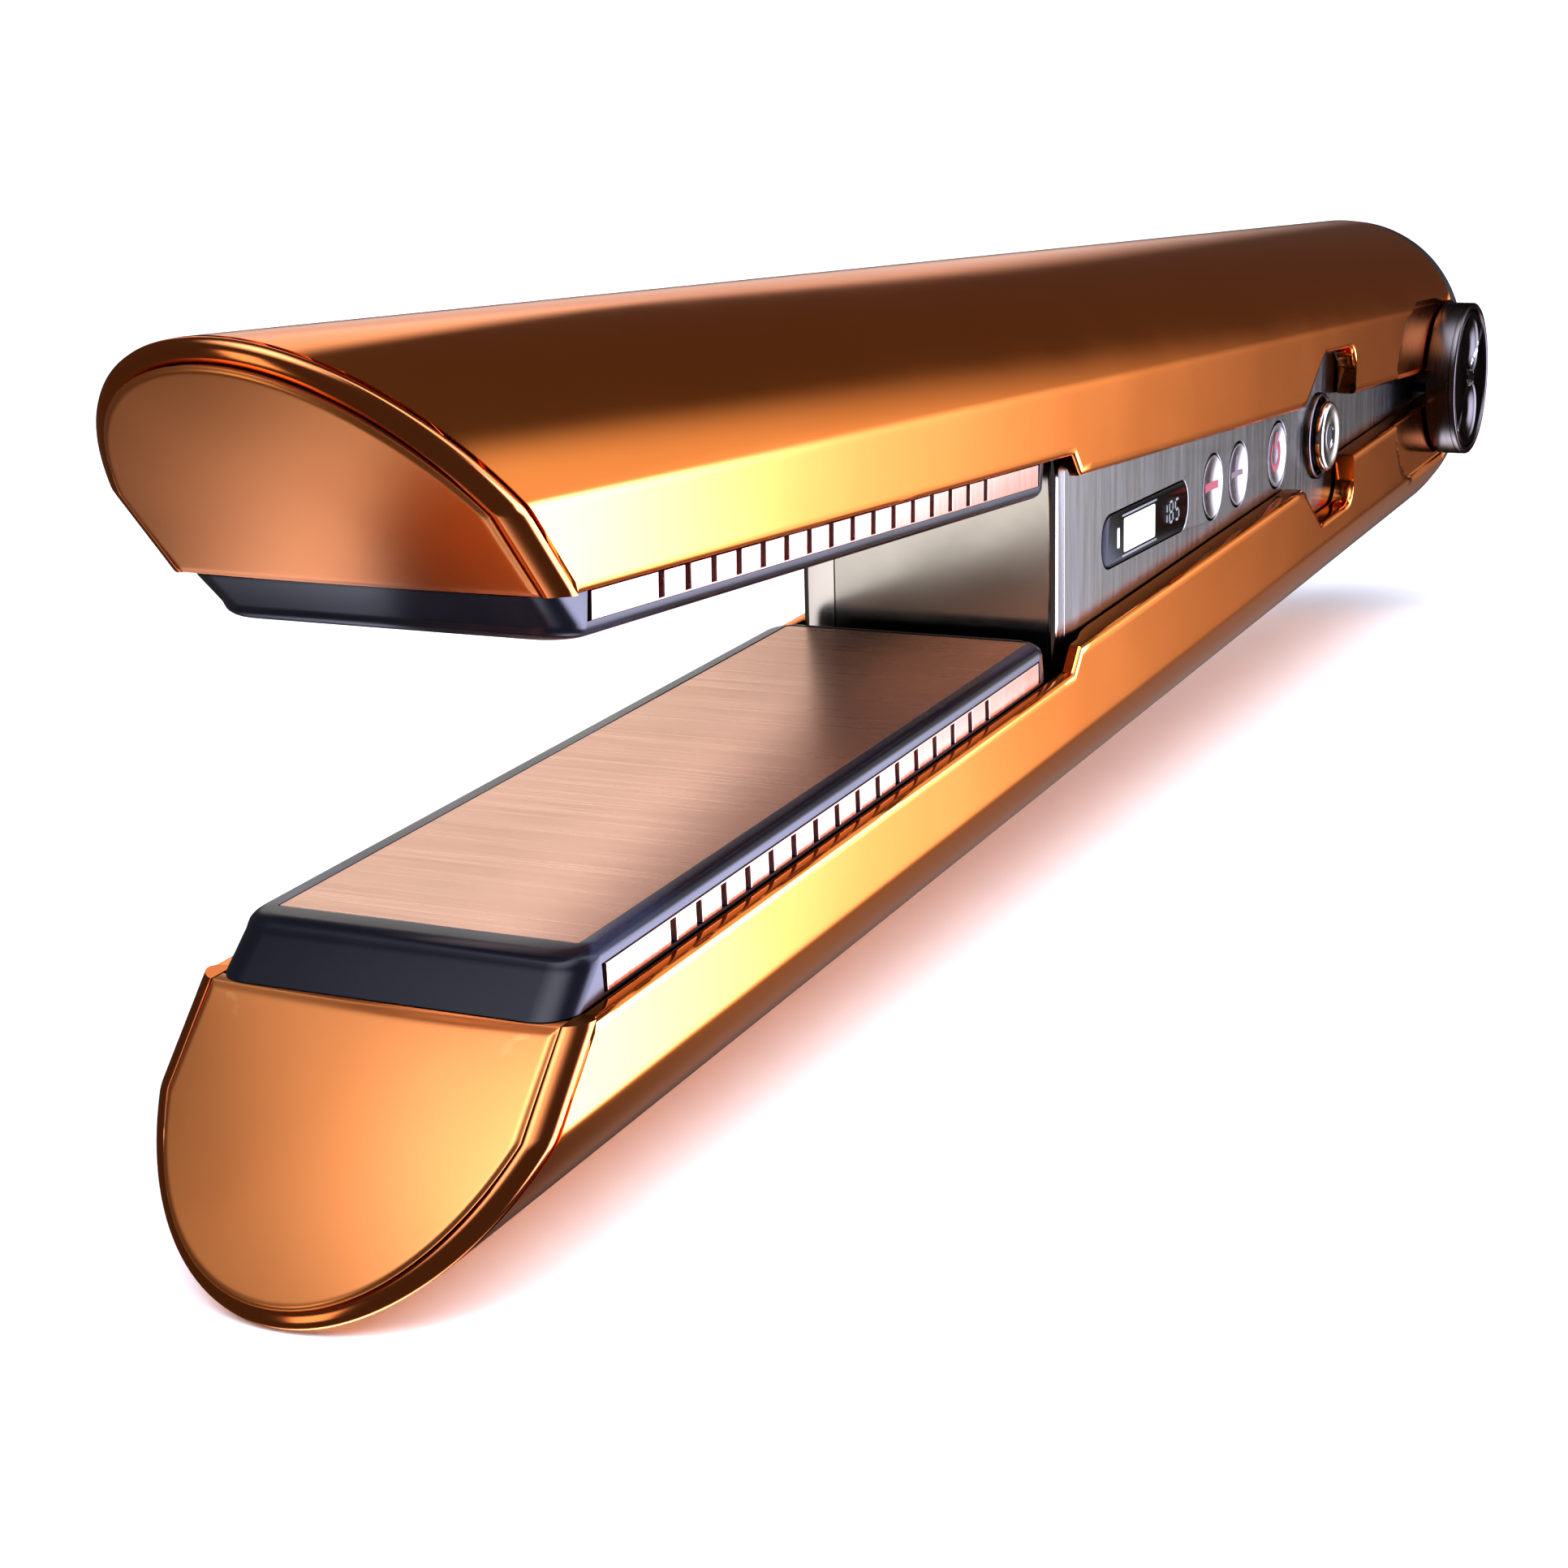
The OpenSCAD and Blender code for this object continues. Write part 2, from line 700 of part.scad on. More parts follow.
// Rear block of the spine: cheeks for the pin, a neck and the curved back
module hinge_block() {
  skin = 1.4;
  neck_h = 5.2;
  neck_x = 7.2;
  open_x = -6.2;                             // front edge of the curved back wall
  cable_half = [7, 2.4];                     // passage through the neck, half width and half height
  color(black) placed() difference() {
    union() {
      both_sides() bar_y(0, 0, barrel_r, cheek_y[0], cheek_y[1]);
      difference() {
        bar_y(0, 0, barrel_r, -cheek_y[1], cheek_y[1]);
        bar_y(0, 0, barrel_r - skin, -cheek_y[0], cheek_y[0]);
        block([open_x, -cheek_y[0], -big], [big, cheek_y[0], big]);
      }
      block([neck_x, -cheek_y[1], -neck_h], [spine_rear - 0.1, cheek_y[1], neck_h]);
      block([spine_rear - 1, -tongue_half_w, -tongue_half_h],
            [spine_rear + 8, tongue_half_w, tongue_half_h]);
    }
    bar_y(0, 0, pin_r, -cheek_y[1] - 1, cheek_y[1] + 1);
    block([-big, -socket_half[0], -socket_half[1]], [-barrel_r + 3, socket_half[0], socket_half[1]]);
    block([spine_rear - 3, -cable_half[0], -cable_half[1]],
          [spine_rear + 10, cable_half[0], cable_half[1]]);
  }
}

module contact_block() {
  color(gunmetal) placed() difference() {
    block([-barrel_r + 0.5, -socket_half[0] + 0.1, -socket_half[1] + 0.1],
          [-7.6, socket_half[0] - 0.1, socket_half[1] - 0.1]);
    for (y = contact_ys) translate([-barrel_r, y, 0]) rotate([0, 90, 0]) cylinder(h = 20, r = contact_r);
  }
}

module charging_contacts() {
  color("gold") placed() for (y = contact_ys) translate([-barrel_r + 0.3, y, 0]) rotate([0, 90, 0])
    cylinder(h = 3.8, r = contact_r);
}

module hinge_pin() {
  color(steel) placed() bar_y(0, 0, pin_r, -pin_end_y, disc_bore_y);
}

// Dark disc on the display side with a rim around a polished face
module hinge_disc() {
  rim = 0.9;
  y0 = pocket_floor_y + 0.2;
  color(gunmetal) placed() difference() {
    bar_y(0, 0, disc_r, y0, disc_face_y);
    bar_y(0, 0, disc_r - rim, disc_face_y - 1.1, big);
    bar_y(0, 0, pin_r, y0 - 1, disc_bore_y);
    bar_y(0, 0, disc_screw_r + 0.05, disc_bore_y - 1, big);
  }
}

// Polished insert with two lens-shaped recesses and a slot between them
module disc_face() {
  y0 = disc_face_y - 1.1;
  top = disc_face_y - 0.2;
  lens_mid = 4.9;
  lens_half_h = 2.6;
  lens_r = 7;
  lens_depth = 0.45;
  color(steel) placed() difference() {
    bar_y(0, 0, disc_r - 0.95, y0, top);
    for (s = [-1, 1]) across(top - lens_depth, big) translate([0, s * lens_mid]) intersection() {
      translate([0, lens_r - lens_half_h]) circle(lens_r);
      translate([0, lens_half_h - lens_r]) circle(lens_r);
    }
    bar_y(0, 0, disc_screw_r + 0.1, 0, big);
    block([-2.6, y0 + 0.4, -0.6], [2.6, big, 0.6]);
  }
}

module disc_screw() {
  color(gunmetal) placed() difference() {
    bar_y(0, 0, disc_screw_r, disc_bore_y + 0.1, disc_face_y - 0.7);
    translate([0, disc_face_y - 1.2, 0]) rotate([-90, 30, 0]) cylinder(h = 3, r = 0.8, $fn = 6);
  }
}

// Flush cap on the plain side
module hinge_cap() {
  dish_r = 9;
  color(gunmetal) placed() difference() {
    union() {
      bar_y(0, 0, cap_hole_r - 0.4, -arm_half_w + 0.1, -pin_end_y);
      bar_y(0, 0, pin_r + 1.6, -pin_end_y - 0.1, -cheek_y[1] - 0.05);
    }
    bar_y(0, 0, pin_r, -pin_end_y, 0);
    translate([0, -arm_half_w - dish_r + 0.5, 0]) sphere(dish_r, $fn = 180);
  }
}

// Torsion spring that pushes the arms apart
module arm_spring() {
  wire = 0.6;
  turns = 5;
  width = 7.4;
  r = 4.4;
  color(steel) placed() {
    translate([0, width / 2, 0]) rotate([90, 0, 0]) coil(r, width / turns, wire, turns, 8, 20);
  }
}

upper() shell();  // upper_shell
upper() tip_trim();  // upper_tip_trim
upper() end_cap();  // upper_end_cap
upper() plate_frame();  // upper_plate_frame
upper() plate();  // upper_plate
upper() heater();  // upper_heater
upper() heater_clamp();  // upper_heater_clamp
upper() insulator();  // upper_insulator
upper() press_springs();  // upper_press_springs
upper() chassis(upper_lug_y);  // upper_chassis
upper() bushes(upper_lug_y);  // upper_bushes
upper() power_board();  // upper_power_board
upper() heater_leads();  // upper_heater_leads
upper() rear_cover();  // upper_rear_cover
upper() screws();  // upper_screws
lower() shell();  // lower_shell
lower() tip_trim();  // lower_tip_trim
lower() end_cap();  // lower_end_cap
lower() plate_frame();  // lower_plate_frame
lower() plate();  // lower_plate
lower() heater();  // lower_heater
lower() heater_clamp();  // lower_heater_clamp
lower() insulator();  // lower_insulator
lower() press_springs();  // lower_press_springs
lower() chassis(lower_lug_y);  // lower_chassis
lower() bushes(lower_lug_y);  // lower_bushes
lower() power_board();  // lower_power_board
lower() heater_leads();  // lower_heater_leads
lower() rear_cover();  // lower_rear_cover
lower() screws();  // lower_screws
spine_housing();
spine_side_cover();
spine_side_trim();
display_window();
display_module();
button(minus_x, button_r);  // minus_button
button(plus_x, button_r);  // plus_button
button(power_x, power_r);  // power_button
button_switches();
lock_button();
lock_plunger();
lock_collar();
control_board();
battery_cell(0, 1);  // battery_cell_1
battery_cell(0, -1);  // battery_cell_2
battery_cell(1, 1);  // battery_cell_3
battery_cell(1, -1);  // battery_cell_4
battery_sheet();
hinge_block();
contact_block();
charging_contacts();
hinge_pin();
hinge_disc();
disc_face();
disc_screw();
hinge_cap();
arm_spring();
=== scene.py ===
# Looks of a cordless hair straightener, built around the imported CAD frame.
import json
import math

import bpy
from mathutils import Matrix, Vector


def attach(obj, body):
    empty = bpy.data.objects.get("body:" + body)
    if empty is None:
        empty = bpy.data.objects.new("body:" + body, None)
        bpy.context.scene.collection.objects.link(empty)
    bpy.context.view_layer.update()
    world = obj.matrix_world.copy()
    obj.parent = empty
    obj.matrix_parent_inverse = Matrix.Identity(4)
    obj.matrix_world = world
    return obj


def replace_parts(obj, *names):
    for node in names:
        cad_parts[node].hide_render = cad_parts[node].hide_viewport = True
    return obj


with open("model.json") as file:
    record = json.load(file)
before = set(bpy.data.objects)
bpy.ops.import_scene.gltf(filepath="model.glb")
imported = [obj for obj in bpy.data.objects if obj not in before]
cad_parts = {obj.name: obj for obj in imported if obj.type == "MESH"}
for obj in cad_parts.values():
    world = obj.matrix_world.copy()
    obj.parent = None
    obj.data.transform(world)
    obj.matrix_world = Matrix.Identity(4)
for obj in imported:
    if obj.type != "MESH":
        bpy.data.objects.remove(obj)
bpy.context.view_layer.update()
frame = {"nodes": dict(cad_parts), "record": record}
MM = 0.001

# ---------------------------------------------------------------- places, in millimetres from the hinge
JOINTS = frame["record"]["behaviour"]["joints"]
HINGE = Vector(next(j["pos_m"] for j in JOINTS if j["name"] == "upper_arm_close"))
OPEN_ANGLE = math.radians(2.56)
HALF_W, BACK_TOP, BACK_R, WALL = 17.1, 22.7, 18.25, 1.4
BACK_C = BACK_TOP - BACK_R
PLATE_EDGE, GRIP_EDGE = 4.0, 1.7
STEP_U, STEP_RUN = 159.5, 2.2
TIP_U, REAR_U = 262.9, -1.5
POCKET_R, POCKET_U, POCKET_Y = 11.6, 18.0, 16.2
NOTCH = [(52.0, GRIP_EDGE), (52.0, 4.9), (52.25, 6.0), (52.9, 7.0), (53.8, 7.65), (55.0, 7.9), (66.6, 7.9),
         (67.6, 7.75), (68.4, 7.25), (75.0, 2.1), (75.9, GRIP_EDGE)]
SPINE_Y = 14.3
CAP_INSET = 1.85


def free(x, y, z):
    """A point beside the spine, from millimetres to the row frame."""
    return HINGE + Vector((x, y, z)) * MM


def on_arm(side):
    """Turns arm lengths (along, across, out) into row points.

    side is 1 for the upper arm and -1 for the lower.
    """
    c, s = math.cos(OPEN_ANGLE), math.sin(OPEN_ANGLE)
    return lambda u, y, w: HINGE + Vector((u * c - w * s, y, side * (u * s + w * c))) * MM


def lin(c):
    """Linear colour with full alpha, from a display colour of 0 to 255."""
    return tuple(((v / 255 + 0.055) / 1.055) ** 2.4 if v > 10 else v / 255 / 12.92 for v in c) + (1.0,)


# ---------------------------------------------------------------- mesh helpers
def smoothstep(a, b, x):
    """0 below a, 1 above b and an even S between them."""
    t = min(max((x - a) / (b - a), 0.0), 1.0)
    return t * t * (3 - 2 * t)


def make(name, verts, faces, body, material, flip=False, sharp=40.0):
    """A smooth mesh piece that rides on a body."""
    mesh = bpy.data.meshes.new(name)
    mesh.from_pydata([tuple(v) for v in verts], [], [tuple(reversed(f)) if flip else tuple(f) for f in faces])
    mesh.validate()
    mesh.polygons.foreach_set("use_smooth", [True] * len(mesh.polygons))
    mesh.set_sharp_from_angle(angle=math.radians(sharp))
    mesh.materials.append(material)
    obj = bpy.data.objects.new(name, mesh)
    bpy.context.collection.objects.link(obj)
    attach(obj, body)
    return obj


def grid_faces(rows, cols, closed_rows=False, closed_cols=False):
    """Quads of a rows x cols grid of points, row by row."""
    out = []
    for i in range(rows if closed_rows else rows - 1):
        for j in range(cols if closed_cols else cols - 1):
            a, b = i * cols + j, i * cols + (j + 1) % cols
            k = ((i + 1) % rows) * cols
            out.append((a, b, k + (j + 1) % cols, k + j))
    return out


def lathe(name, x, z, profile, body, material, sides=96, sharp=35.0):
    """A body of revolution about a line along Y. profile lists (radius, y) from the back to the front."""
    verts, faces, rings = [], [], []
    for r, y in profile:
        start = len(verts)
        if r < 1e-6:
            verts.append(free(x, y, z))
            rings.append((start, 1))
            continue
        for k in range(sides):
            a = 2 * math.pi * k / sides
            verts.append(free(x + r * math.cos(a), y, z + r * math.sin(a)))
        rings.append((start, sides))
    for (a, na), (b, nb) in zip(rings, rings[1:]):
        for k in range(sides):
            n = (k + 1) % sides
            if na == 1:
                faces.append((a, b + k, b + n))
            elif nb == 1:
                faces.append((a + k, b, a + n))
            else:
                faces.append((a + k, b + k, b + n, a + n))
    return make(name, verts, faces, body, material, sharp=sharp)


def slab(name, outline, y0, y1, body, material, bevel=0.0, sharp=35.0):
    """A plate with an X-Z outline between two Y planes, with a bevelled front edge."""
    n = len(outline)
    cx, cz = sum(p[0] for p in outline) / n, sum(p[1] for p in outline) / n
    rings = [(y0, 0.0)]
    if bevel:
        rings += [(y1 - bevel, 0.0), (y1 - 0.3 * bevel, 0.3 * bevel), (y1, bevel)]
    else:
        rings.append((y1, 0.0))
    verts = []
    for y, inset in rings:
        for x, z in outline:
            d = math.hypot(x - cx, z - cz)
            k = max(0.0, 1 - inset / d) if d else 1
            verts.append(free(cx + (x - cx) * k, y, cz + (z - cz) * k))
    faces = [tuple(range(n)), tuple(reversed(range((len(rings) - 1) * n, len(rings) * n)))]
    for i in range(len(rings) - 1):
        for k in range(n):
            a, b = i * n + k, i * n + (k + 1) % n
            faces.append((a, a + n, b + n, b))
    return make(name, verts, faces, body, material, sharp=sharp)


def rounded(cx, cz, length, height, r, steps=8):
    """Outline of a rounded rectangle, anticlockwise seen along +Y from the front."""
    out = []
    for sx, sz, start in ((1, 1, 0), (-1, 1, 90), (-1, -1, 180), (1, -1, 270)):
        for k in range(steps + 1):
            a = math.radians(start + 90 * k / steps)
            out.append((cx + sx * (length / 2 - r) + r * math.cos(a),
                        cz + sz * (height / 2 - r) + r * math.sin(a)))
    return out


def soften(obj, width, segments=2, angle=28.0):
    """Welds a CAD mesh and rounds its sharp edges with modifiers."""
    weld = obj.modifiers.new("weld", "WELD")
    weld.merge_threshold = 1e-6
    bev = obj.modifiers.new("bevel", "BEVEL")
    bev.width = width * MM
    bev.segments = segments
    bev.limit_method = "ANGLE"
    bev.angle_limit = math.radians(angle)
    bev.use_clamp_overlap = True
    bev.harden_normals = True


# ---------------------------------------------------------------- material helpers
class Nodes:
    """Short hand for building one node material."""

    def __init__(self, name):
        self.mat = bpy.data.materials.new(name)
        self.mat.use_nodes = True
        self.tree = self.mat.node_tree
        self.shader = self.tree.nodes["Principled BSDF"]

    def add(self, kind, **values):
        node = self.tree.nodes.new(kind)
        for key, value in values.items():
            if hasattr(node, key):
                setattr(node, key, value)
            else:
                node.inputs[key].default_value = value
        return node

    def link(self, a, b):
        self.tree.links.new(a, b)

    def coords(self, scale=(1, 1, 1)):
        mapping = self.add("ShaderNodeMapping")
        mapping.inputs["Scale"].default_value = scale
        self.link(self.add("ShaderNodeTexCoord").outputs["Object"], mapping.inputs["Vector"])
        return mapping.outputs["Vector"]

    def noise(self, scale, size=(1, 1, 1), detail=3.0, rough=0.5):
        node = self.add("ShaderNodeTexNoise", Scale=scale, Detail=detail, Roughness=rough)
        self.link(self.coords(size), node.inputs["Vector"])
        return node.outputs["Fac"]

    def ramp(self, fac, stops):
        node = self.add("ShaderNodeValToRGB")
        el = node.color_ramp.elements
        el[0].position, el[0].color = stops[0]
        el[1].position, el[1].color = stops[-1]
        for pos, col in stops[1:-1]:
            el.new(pos).color = col
        self.link(fac, node.inputs["Fac"])
        return node.outputs["Color"]

    def span(self, fac, low, high, from_low=0.3, from_high=0.7):
        node = self.add("ShaderNodeMapRange")
        node.inputs["From Min"].default_value = from_low
        node.inputs["From Max"].default_value = from_high
        node.inputs["To Min"].default_value = low
        node.inputs["To Max"].default_value = high
        self.link(fac, node.inputs["Value"])
        return node.outputs["Result"]

    def bump(self, fac, strength, distance):
        node = self.add("ShaderNodeBump", Strength=strength, Distance=distance)
        self.link(fac, node.inputs["Height"])
        self.link(node.outputs["Normal"], self.shader.inputs["Normal"])

    def edge_wear(self, low=0.52, high=0.62):
        """Pointiness, 0 on flats and 1 on sharp convex edges."""
        geo = self.add("ShaderNodeNewGeometry")
        return self.span(geo.outputs["Pointiness"], 0.0, 1.0, low, high)

    def mix(self, fac, a, b):
        node = self.add("ShaderNodeMix", data_type="RGBA")
        self.link(fac, node.inputs["Factor"])
        for socket, value in ((node.inputs[6], a), (node.inputs[7], b)):
            if isinstance(value, tuple):
                socket.default_value = value
            else:
                self.link(value, socket)
        return node.outputs[2]


MATERIALS = {}


WORN_SPAN = 0.1             # from bare to fully worn, in pointiness
METAL_GRAIN_M, METAL_SKIN_M, PLASTIC_SKIN_M = 0.00004, 0.00002, 0.00003    # bump depths in metres


def metal(name, dark, light, metallic, rough, grain=None, bump=0.05, wear=None,
          edge_tint=(1, 1, 1, 1), worn_from=0.52):
    """Metal or coated metal: colour drift, uneven gloss, optional brushed grain, brighter worn edges."""
    if name in MATERIALS:
        return MATERIALS[name]
    n = Nodes(name)
    col = n.ramp(n.noise(35.0), [(0.3, dark), (0.7, light)])
    if wear:
        col = n.mix(n.edge_wear(worn_from, worn_from + WORN_SPAN), col, wear)
    n.link(col, n.shader.inputs["Base Color"])
    n.shader.inputs["Metallic"].default_value = metallic
    n.shader.inputs["Specular Tint"].default_value = edge_tint
    if grain:
        lines = n.noise(grain[0], grain[1], detail=6.0, rough=0.7)
        n.link(n.span(lines, rough[0], rough[1]), n.shader.inputs["Roughness"])
        n.bump(lines, bump, METAL_GRAIN_M)
    else:
        n.link(n.span(n.noise(60.0), rough[0], rough[1]), n.shader.inputs["Roughness"])
        n.bump(n.noise(900.0, detail=4.0), bump, METAL_SKIN_M)
    MATERIALS[name] = n.mat
    return n.mat


def plastic(name, dark, light, rough, bump=0.08, wear=None, gloss=0.5):
    """Moulded plastic with a fine skin texture and slight colour drift."""
    if name in MATERIALS:
        return MATERIALS[name]
    n = Nodes(name)
    col = n.ramp(n.noise(50.0), [(0.3, dark), (0.7, light)])
    if wear:
        col = n.mix(n.edge_wear(), col, wear)
    n.link(col, n.shader.inputs["Base Color"])
    n.shader.inputs["Specular IOR Level"].default_value = gloss
    n.shader.inputs["Specular Tint"].default_value = (1.0, 0.96, 0.88, 1.0)
    n.link(n.span(n.noise(80.0), rough[0], rough[1]), n.shader.inputs["Roughness"])
    n.bump(n.noise(1400.0, detail=5.0), bump, PLASTIC_SKIN_M)
    MATERIALS[name] = n.mat
    return n.mat


def glow(name, colour, strength):
    """Lit display segment with a slightly uneven brightness."""
    if name in MATERIALS:
        return MATERIALS[name]
    n = Nodes(name)
    n.shader.inputs["Base Color"].default_value = (0.02, 0.02, 0.02, 1)
    n.link(n.ramp(n.noise(400.0), [(0.3, lin(colour)), (0.7, lin([0.96 * c for c in colour]))]),
           n.shader.inputs["Emission Color"])
    n.shader.inputs["Emission Strength"].default_value = strength
    MATERIALS[name] = n.mat
    return n.mat


def shell_copper():
    return metal("shell_copper", lin((246, 147, 73)), lin((250, 152, 78)), 1.0, (0.09, 0.13), bump=0.012,
                 wear=lin((255, 200, 140)), edge_tint=lin((252, 216, 196)))


def trim_copper():
    return metal("trim_copper", lin((202, 112, 58)), lin((210, 120, 64)), 1.0, (0.11, 0.16), bump=0.012,
                 wear=lin((235, 160, 100)), edge_tint=lin((252, 216, 196)))


def cap_copper():
    return metal("cap_copper", lin((244, 148, 78)), lin((248, 154, 84)), 1.0, (0.34, 0.40), bump=0.03,
                 wear=lin((250, 166, 96)), worn_from=0.64)


def frame_navy():
    return plastic("frame_navy", lin((10, 12, 20)), lin((14, 16, 26)), (0.20, 0.28), bump=0.02, gloss=0.26,
                   wear=lin((34, 40, 58)))


def plate_copper():
    """Brushed across on the faces, plain and smoother on the sides of the fingers."""
    if "plate_copper" in MATERIALS:
        return MATERIALS["plate_copper"]
    n = Nodes("plate_copper")
    split = n.add("ShaderNodeSeparateXYZ")
    n.link(n.add("ShaderNodeTexCoord").outputs["Normal"], split.inputs["Vector"])
    tilt = n.add("ShaderNodeMath", operation="ABSOLUTE")
    n.link(split.outputs["Y"], tilt.inputs[0])
    side = n.span(tilt.outputs[0], 0.0, 1.0, 0.5, 0.7)
    face = n.ramp(n.noise(35.0), [(0.3, lin((246, 200, 180))), (0.7, lin((252, 210, 190)))])
    finger = n.ramp(n.noise(45.0), [(0.3, lin((200, 150, 132))), (0.7, lin((210, 158, 140)))])
    col = n.mix(side, face, finger)
    n.link(n.mix(n.edge_wear(), col, lin((255, 226, 210))), n.shader.inputs["Base Color"])
    n.shader.inputs["Metallic"].default_value = 1.0
    n.shader.inputs["Specular Tint"].default_value = lin((235, 215, 205))
    lines = n.noise(60.0, (40, 0.6, 1), detail=6.0, rough=0.7)
    gloss = n.add("ShaderNodeMix", data_type="FLOAT")
    n.link(side, gloss.inputs[0])
    n.link(n.span(lines, 0.24, 0.36), gloss.inputs[2])
    n.link(n.span(lines, 0.13, 0.2), gloss.inputs[3])
    n.link(gloss.outputs[0], n.shader.inputs["Roughness"])
    bump = n.add("ShaderNodeBump", Distance=METAL_GRAIN_M)
    n.link(lines, bump.inputs["Height"])
    n.link(n.span(side, 0.12, 0.01, 0.0, 1.0), bump.inputs["Strength"])
    n.link(bump.outputs["Normal"], n.shader.inputs["Normal"])
    MATERIALS["plate_copper"] = n.mat
    return n.mat


def spine_nickel():
    return metal("spine_nickel", lin((158, 157, 150)), lin((165, 164, 157)), 1.0, (0.15, 0.22),
                 grain=(60.0, (18, 1, 1)), bump=0.02, wear=lin((225, 224, 222)),
                 edge_tint=lin((150, 150, 150)))


def silver():
    return metal("silver", lin((196, 193, 188)), lin((206, 203, 198)), 1.0, (0.10, 0.17), bump=0.02,
                 wear=lin((235, 233, 230)), edge_tint=lin((190, 190, 188)))


def button_face():
    return metal("button_face", lin((150, 145, 144)), lin((160, 155, 153)), 0.85, (0.16, 0.24), bump=0.03,
                 wear=lin((225, 222, 220)), edge_tint=lin((160, 158, 156)))


def disc_silver():
    return metal("disc_silver", lin((84, 83, 80)), lin((94, 92, 89)), 1.0, (0.14, 0.22), bump=0.03,
                 wear=lin((190, 188, 185)), edge_tint=lin((130, 129, 128)))


def gunmetal():
    return metal("gunmetal", lin((78, 72, 68)), lin((88, 81, 77)), 1.0, (0.22, 0.32),
                 grain=(80.0, (1, 30, 1)), bump=0.03, wear=lin((130, 124, 120)), edge_tint=lin((90, 88, 86)))


def barrel_black():
    return metal("barrel_black", lin((40, 36, 36)), lin((52, 47, 46)), 1.0, (0.2, 0.3), bump=0.03,
                 wear=lin((90, 86, 84)), edge_tint=lin((70, 68, 66)))


def glass_black():
    return plastic("glass_black", lin((7, 7, 8)), lin((10, 10, 12)), (0.10, 0.16), bump=0.01, gloss=0.02)


def red_mark():
    return plastic("red_mark", lin((150, 20, 34)), lin((172, 30, 44)), (0.4, 0.5), bump=0.05, gloss=0.2)


def grey_mark():
    return plastic("grey_mark", lin((96, 70, 76)), lin((116, 86, 92)), (0.4, 0.5), bump=0.05, gloss=0.2)


def black_nylon():
    return plastic("black_nylon", lin((9, 8, 8)), lin((14, 13, 13)), (0.44, 0.56), bump=0.1,
                   wear=lin((30, 28, 27)), gloss=0.06)


def dull(name, a, b, rough=(0.5, 0.7)):
    """Matt finish for the inner pieces."""
    return plastic(name, lin(a), lin(b), rough, bump=0.2)


def inner(name, a, b, rough=(0.25, 0.4)):
    """Drawn or turned metal for the inner pieces."""
    return metal(name, lin(a), lin(b), 1.0, rough, grain=(90.0, (1, 1, 12)), bump=0.08)


def steel():
    return inner("spring_steel", (160, 160, 162), (186, 186, 188))


def module_grey():
    return dull("module_plastic", (40, 40, 44), (54, 54, 58))


def board_green():
    return dull("board", (12, 66, 38), (18, 84, 48), (0.35, 0.5))


def fibre():
    return dull("ceramic_fibre", (220, 212, 190), (236, 228, 208), (0.8, 0.95))


NODE_LOOKS = {
    # on the arms
    "shell": shell_copper, "tip_trim": trim_copper, "end_cap": cap_copper, "plate_frame": frame_navy,
    "plate": plate_copper, "chassis": black_nylon, "rear_cover": black_nylon, "insulator": fibre,
    "heater": lambda: dull("heater_foil", (92, 86, 76), (112, 104, 92)),
    "heater_clamp": lambda: inner("bare_aluminium", (190, 190, 192), (206, 206, 208)),
    "bushes": lambda: inner("bronze", (166, 116, 62), (188, 134, 74)),
    "heater_leads": lambda: dull("lead_sleeve", (140, 22, 18), (164, 30, 24)),
    "press_springs": steel, "screws": steel, "power_board": board_green,
    # on the spine
    "spine_housing": spine_nickel, "spine_side_cover": spine_nickel, "spine_side_trim": spine_nickel,
    "display_window": glass_black, "display_module": module_grey, "button_switches": module_grey,
    "minus_button": button_face, "plus_button": button_face, "power_button": button_face,
    "lock_button": silver, "lock_plunger": module_grey, "lock_collar": gunmetal,
    "control_board": board_green, "battery_sheet": fibre, "hinge_block": black_nylon,
    "battery_cell": lambda: dull("cell_wrap", (24, 96, 74), (32, 112, 88), (0.3, 0.45)),
    "contact_block": module_grey,
    "charging_contacts": lambda: inner("gold_contact", (214, 164, 66), (232, 184, 84)),
    "hinge_pin": steel, "arm_spring": steel, "hinge_disc": gunmetal, "disc_face": silver,
    "disc_screw": gunmetal, "hinge_cap": gunmetal,
}


def look_for(node):
    """The finish of a CAD node, from its name without the arm's side or the cell's number."""
    name = node.split("_", 1)[1] if node.startswith(("upper_", "lower_")) else node
    return NODE_LOOKS["battery_cell" if name.startswith("battery_cell") else name]()


for node, obj in frame["nodes"].items():
    obj.data.materials.clear()
    obj.data.materials.append(look_for(node))

# ---------------------------------------------------------------- shells
FILLET = 2.6                # radius where an arm's flat side runs into its back
FLAT_ROWS, ARC_ROWS, CORNER_ROWS = 14, 56, 6
LIP_R = 0.55                # rolled lower edge
LIP_EXTRA = 1.1             # how much thicker the shell's lip is beside the spine
LIP_FADE = (150.0, 156.0)   # stations where that extra thickness ends
LIP_HEIGHT = (1.0, 3.0)     # heights above the edge where it ends
SLANT_FROM = 190.0          # from here the columns lean towards the slanted tip
SHELL_END = 3.2             # how far behind the tip plane the shell stops, along the arm
POCKET_WALL = (-0.55, 0.15)     # distances from the recess's outline between which its wall rises
REAR_FINE, TIP_FINE = 34.0, 240.0    # stations where the spacing of the columns changes
PAST_NOTCH = 100.0          # a station between the notch and the step at the plates
NOTCH_PITCH = 0.8           # spacing of the columns along the notch
STEEP_SHARE = 0.35          # how much a steep part of the notch counts for the spacing on the back


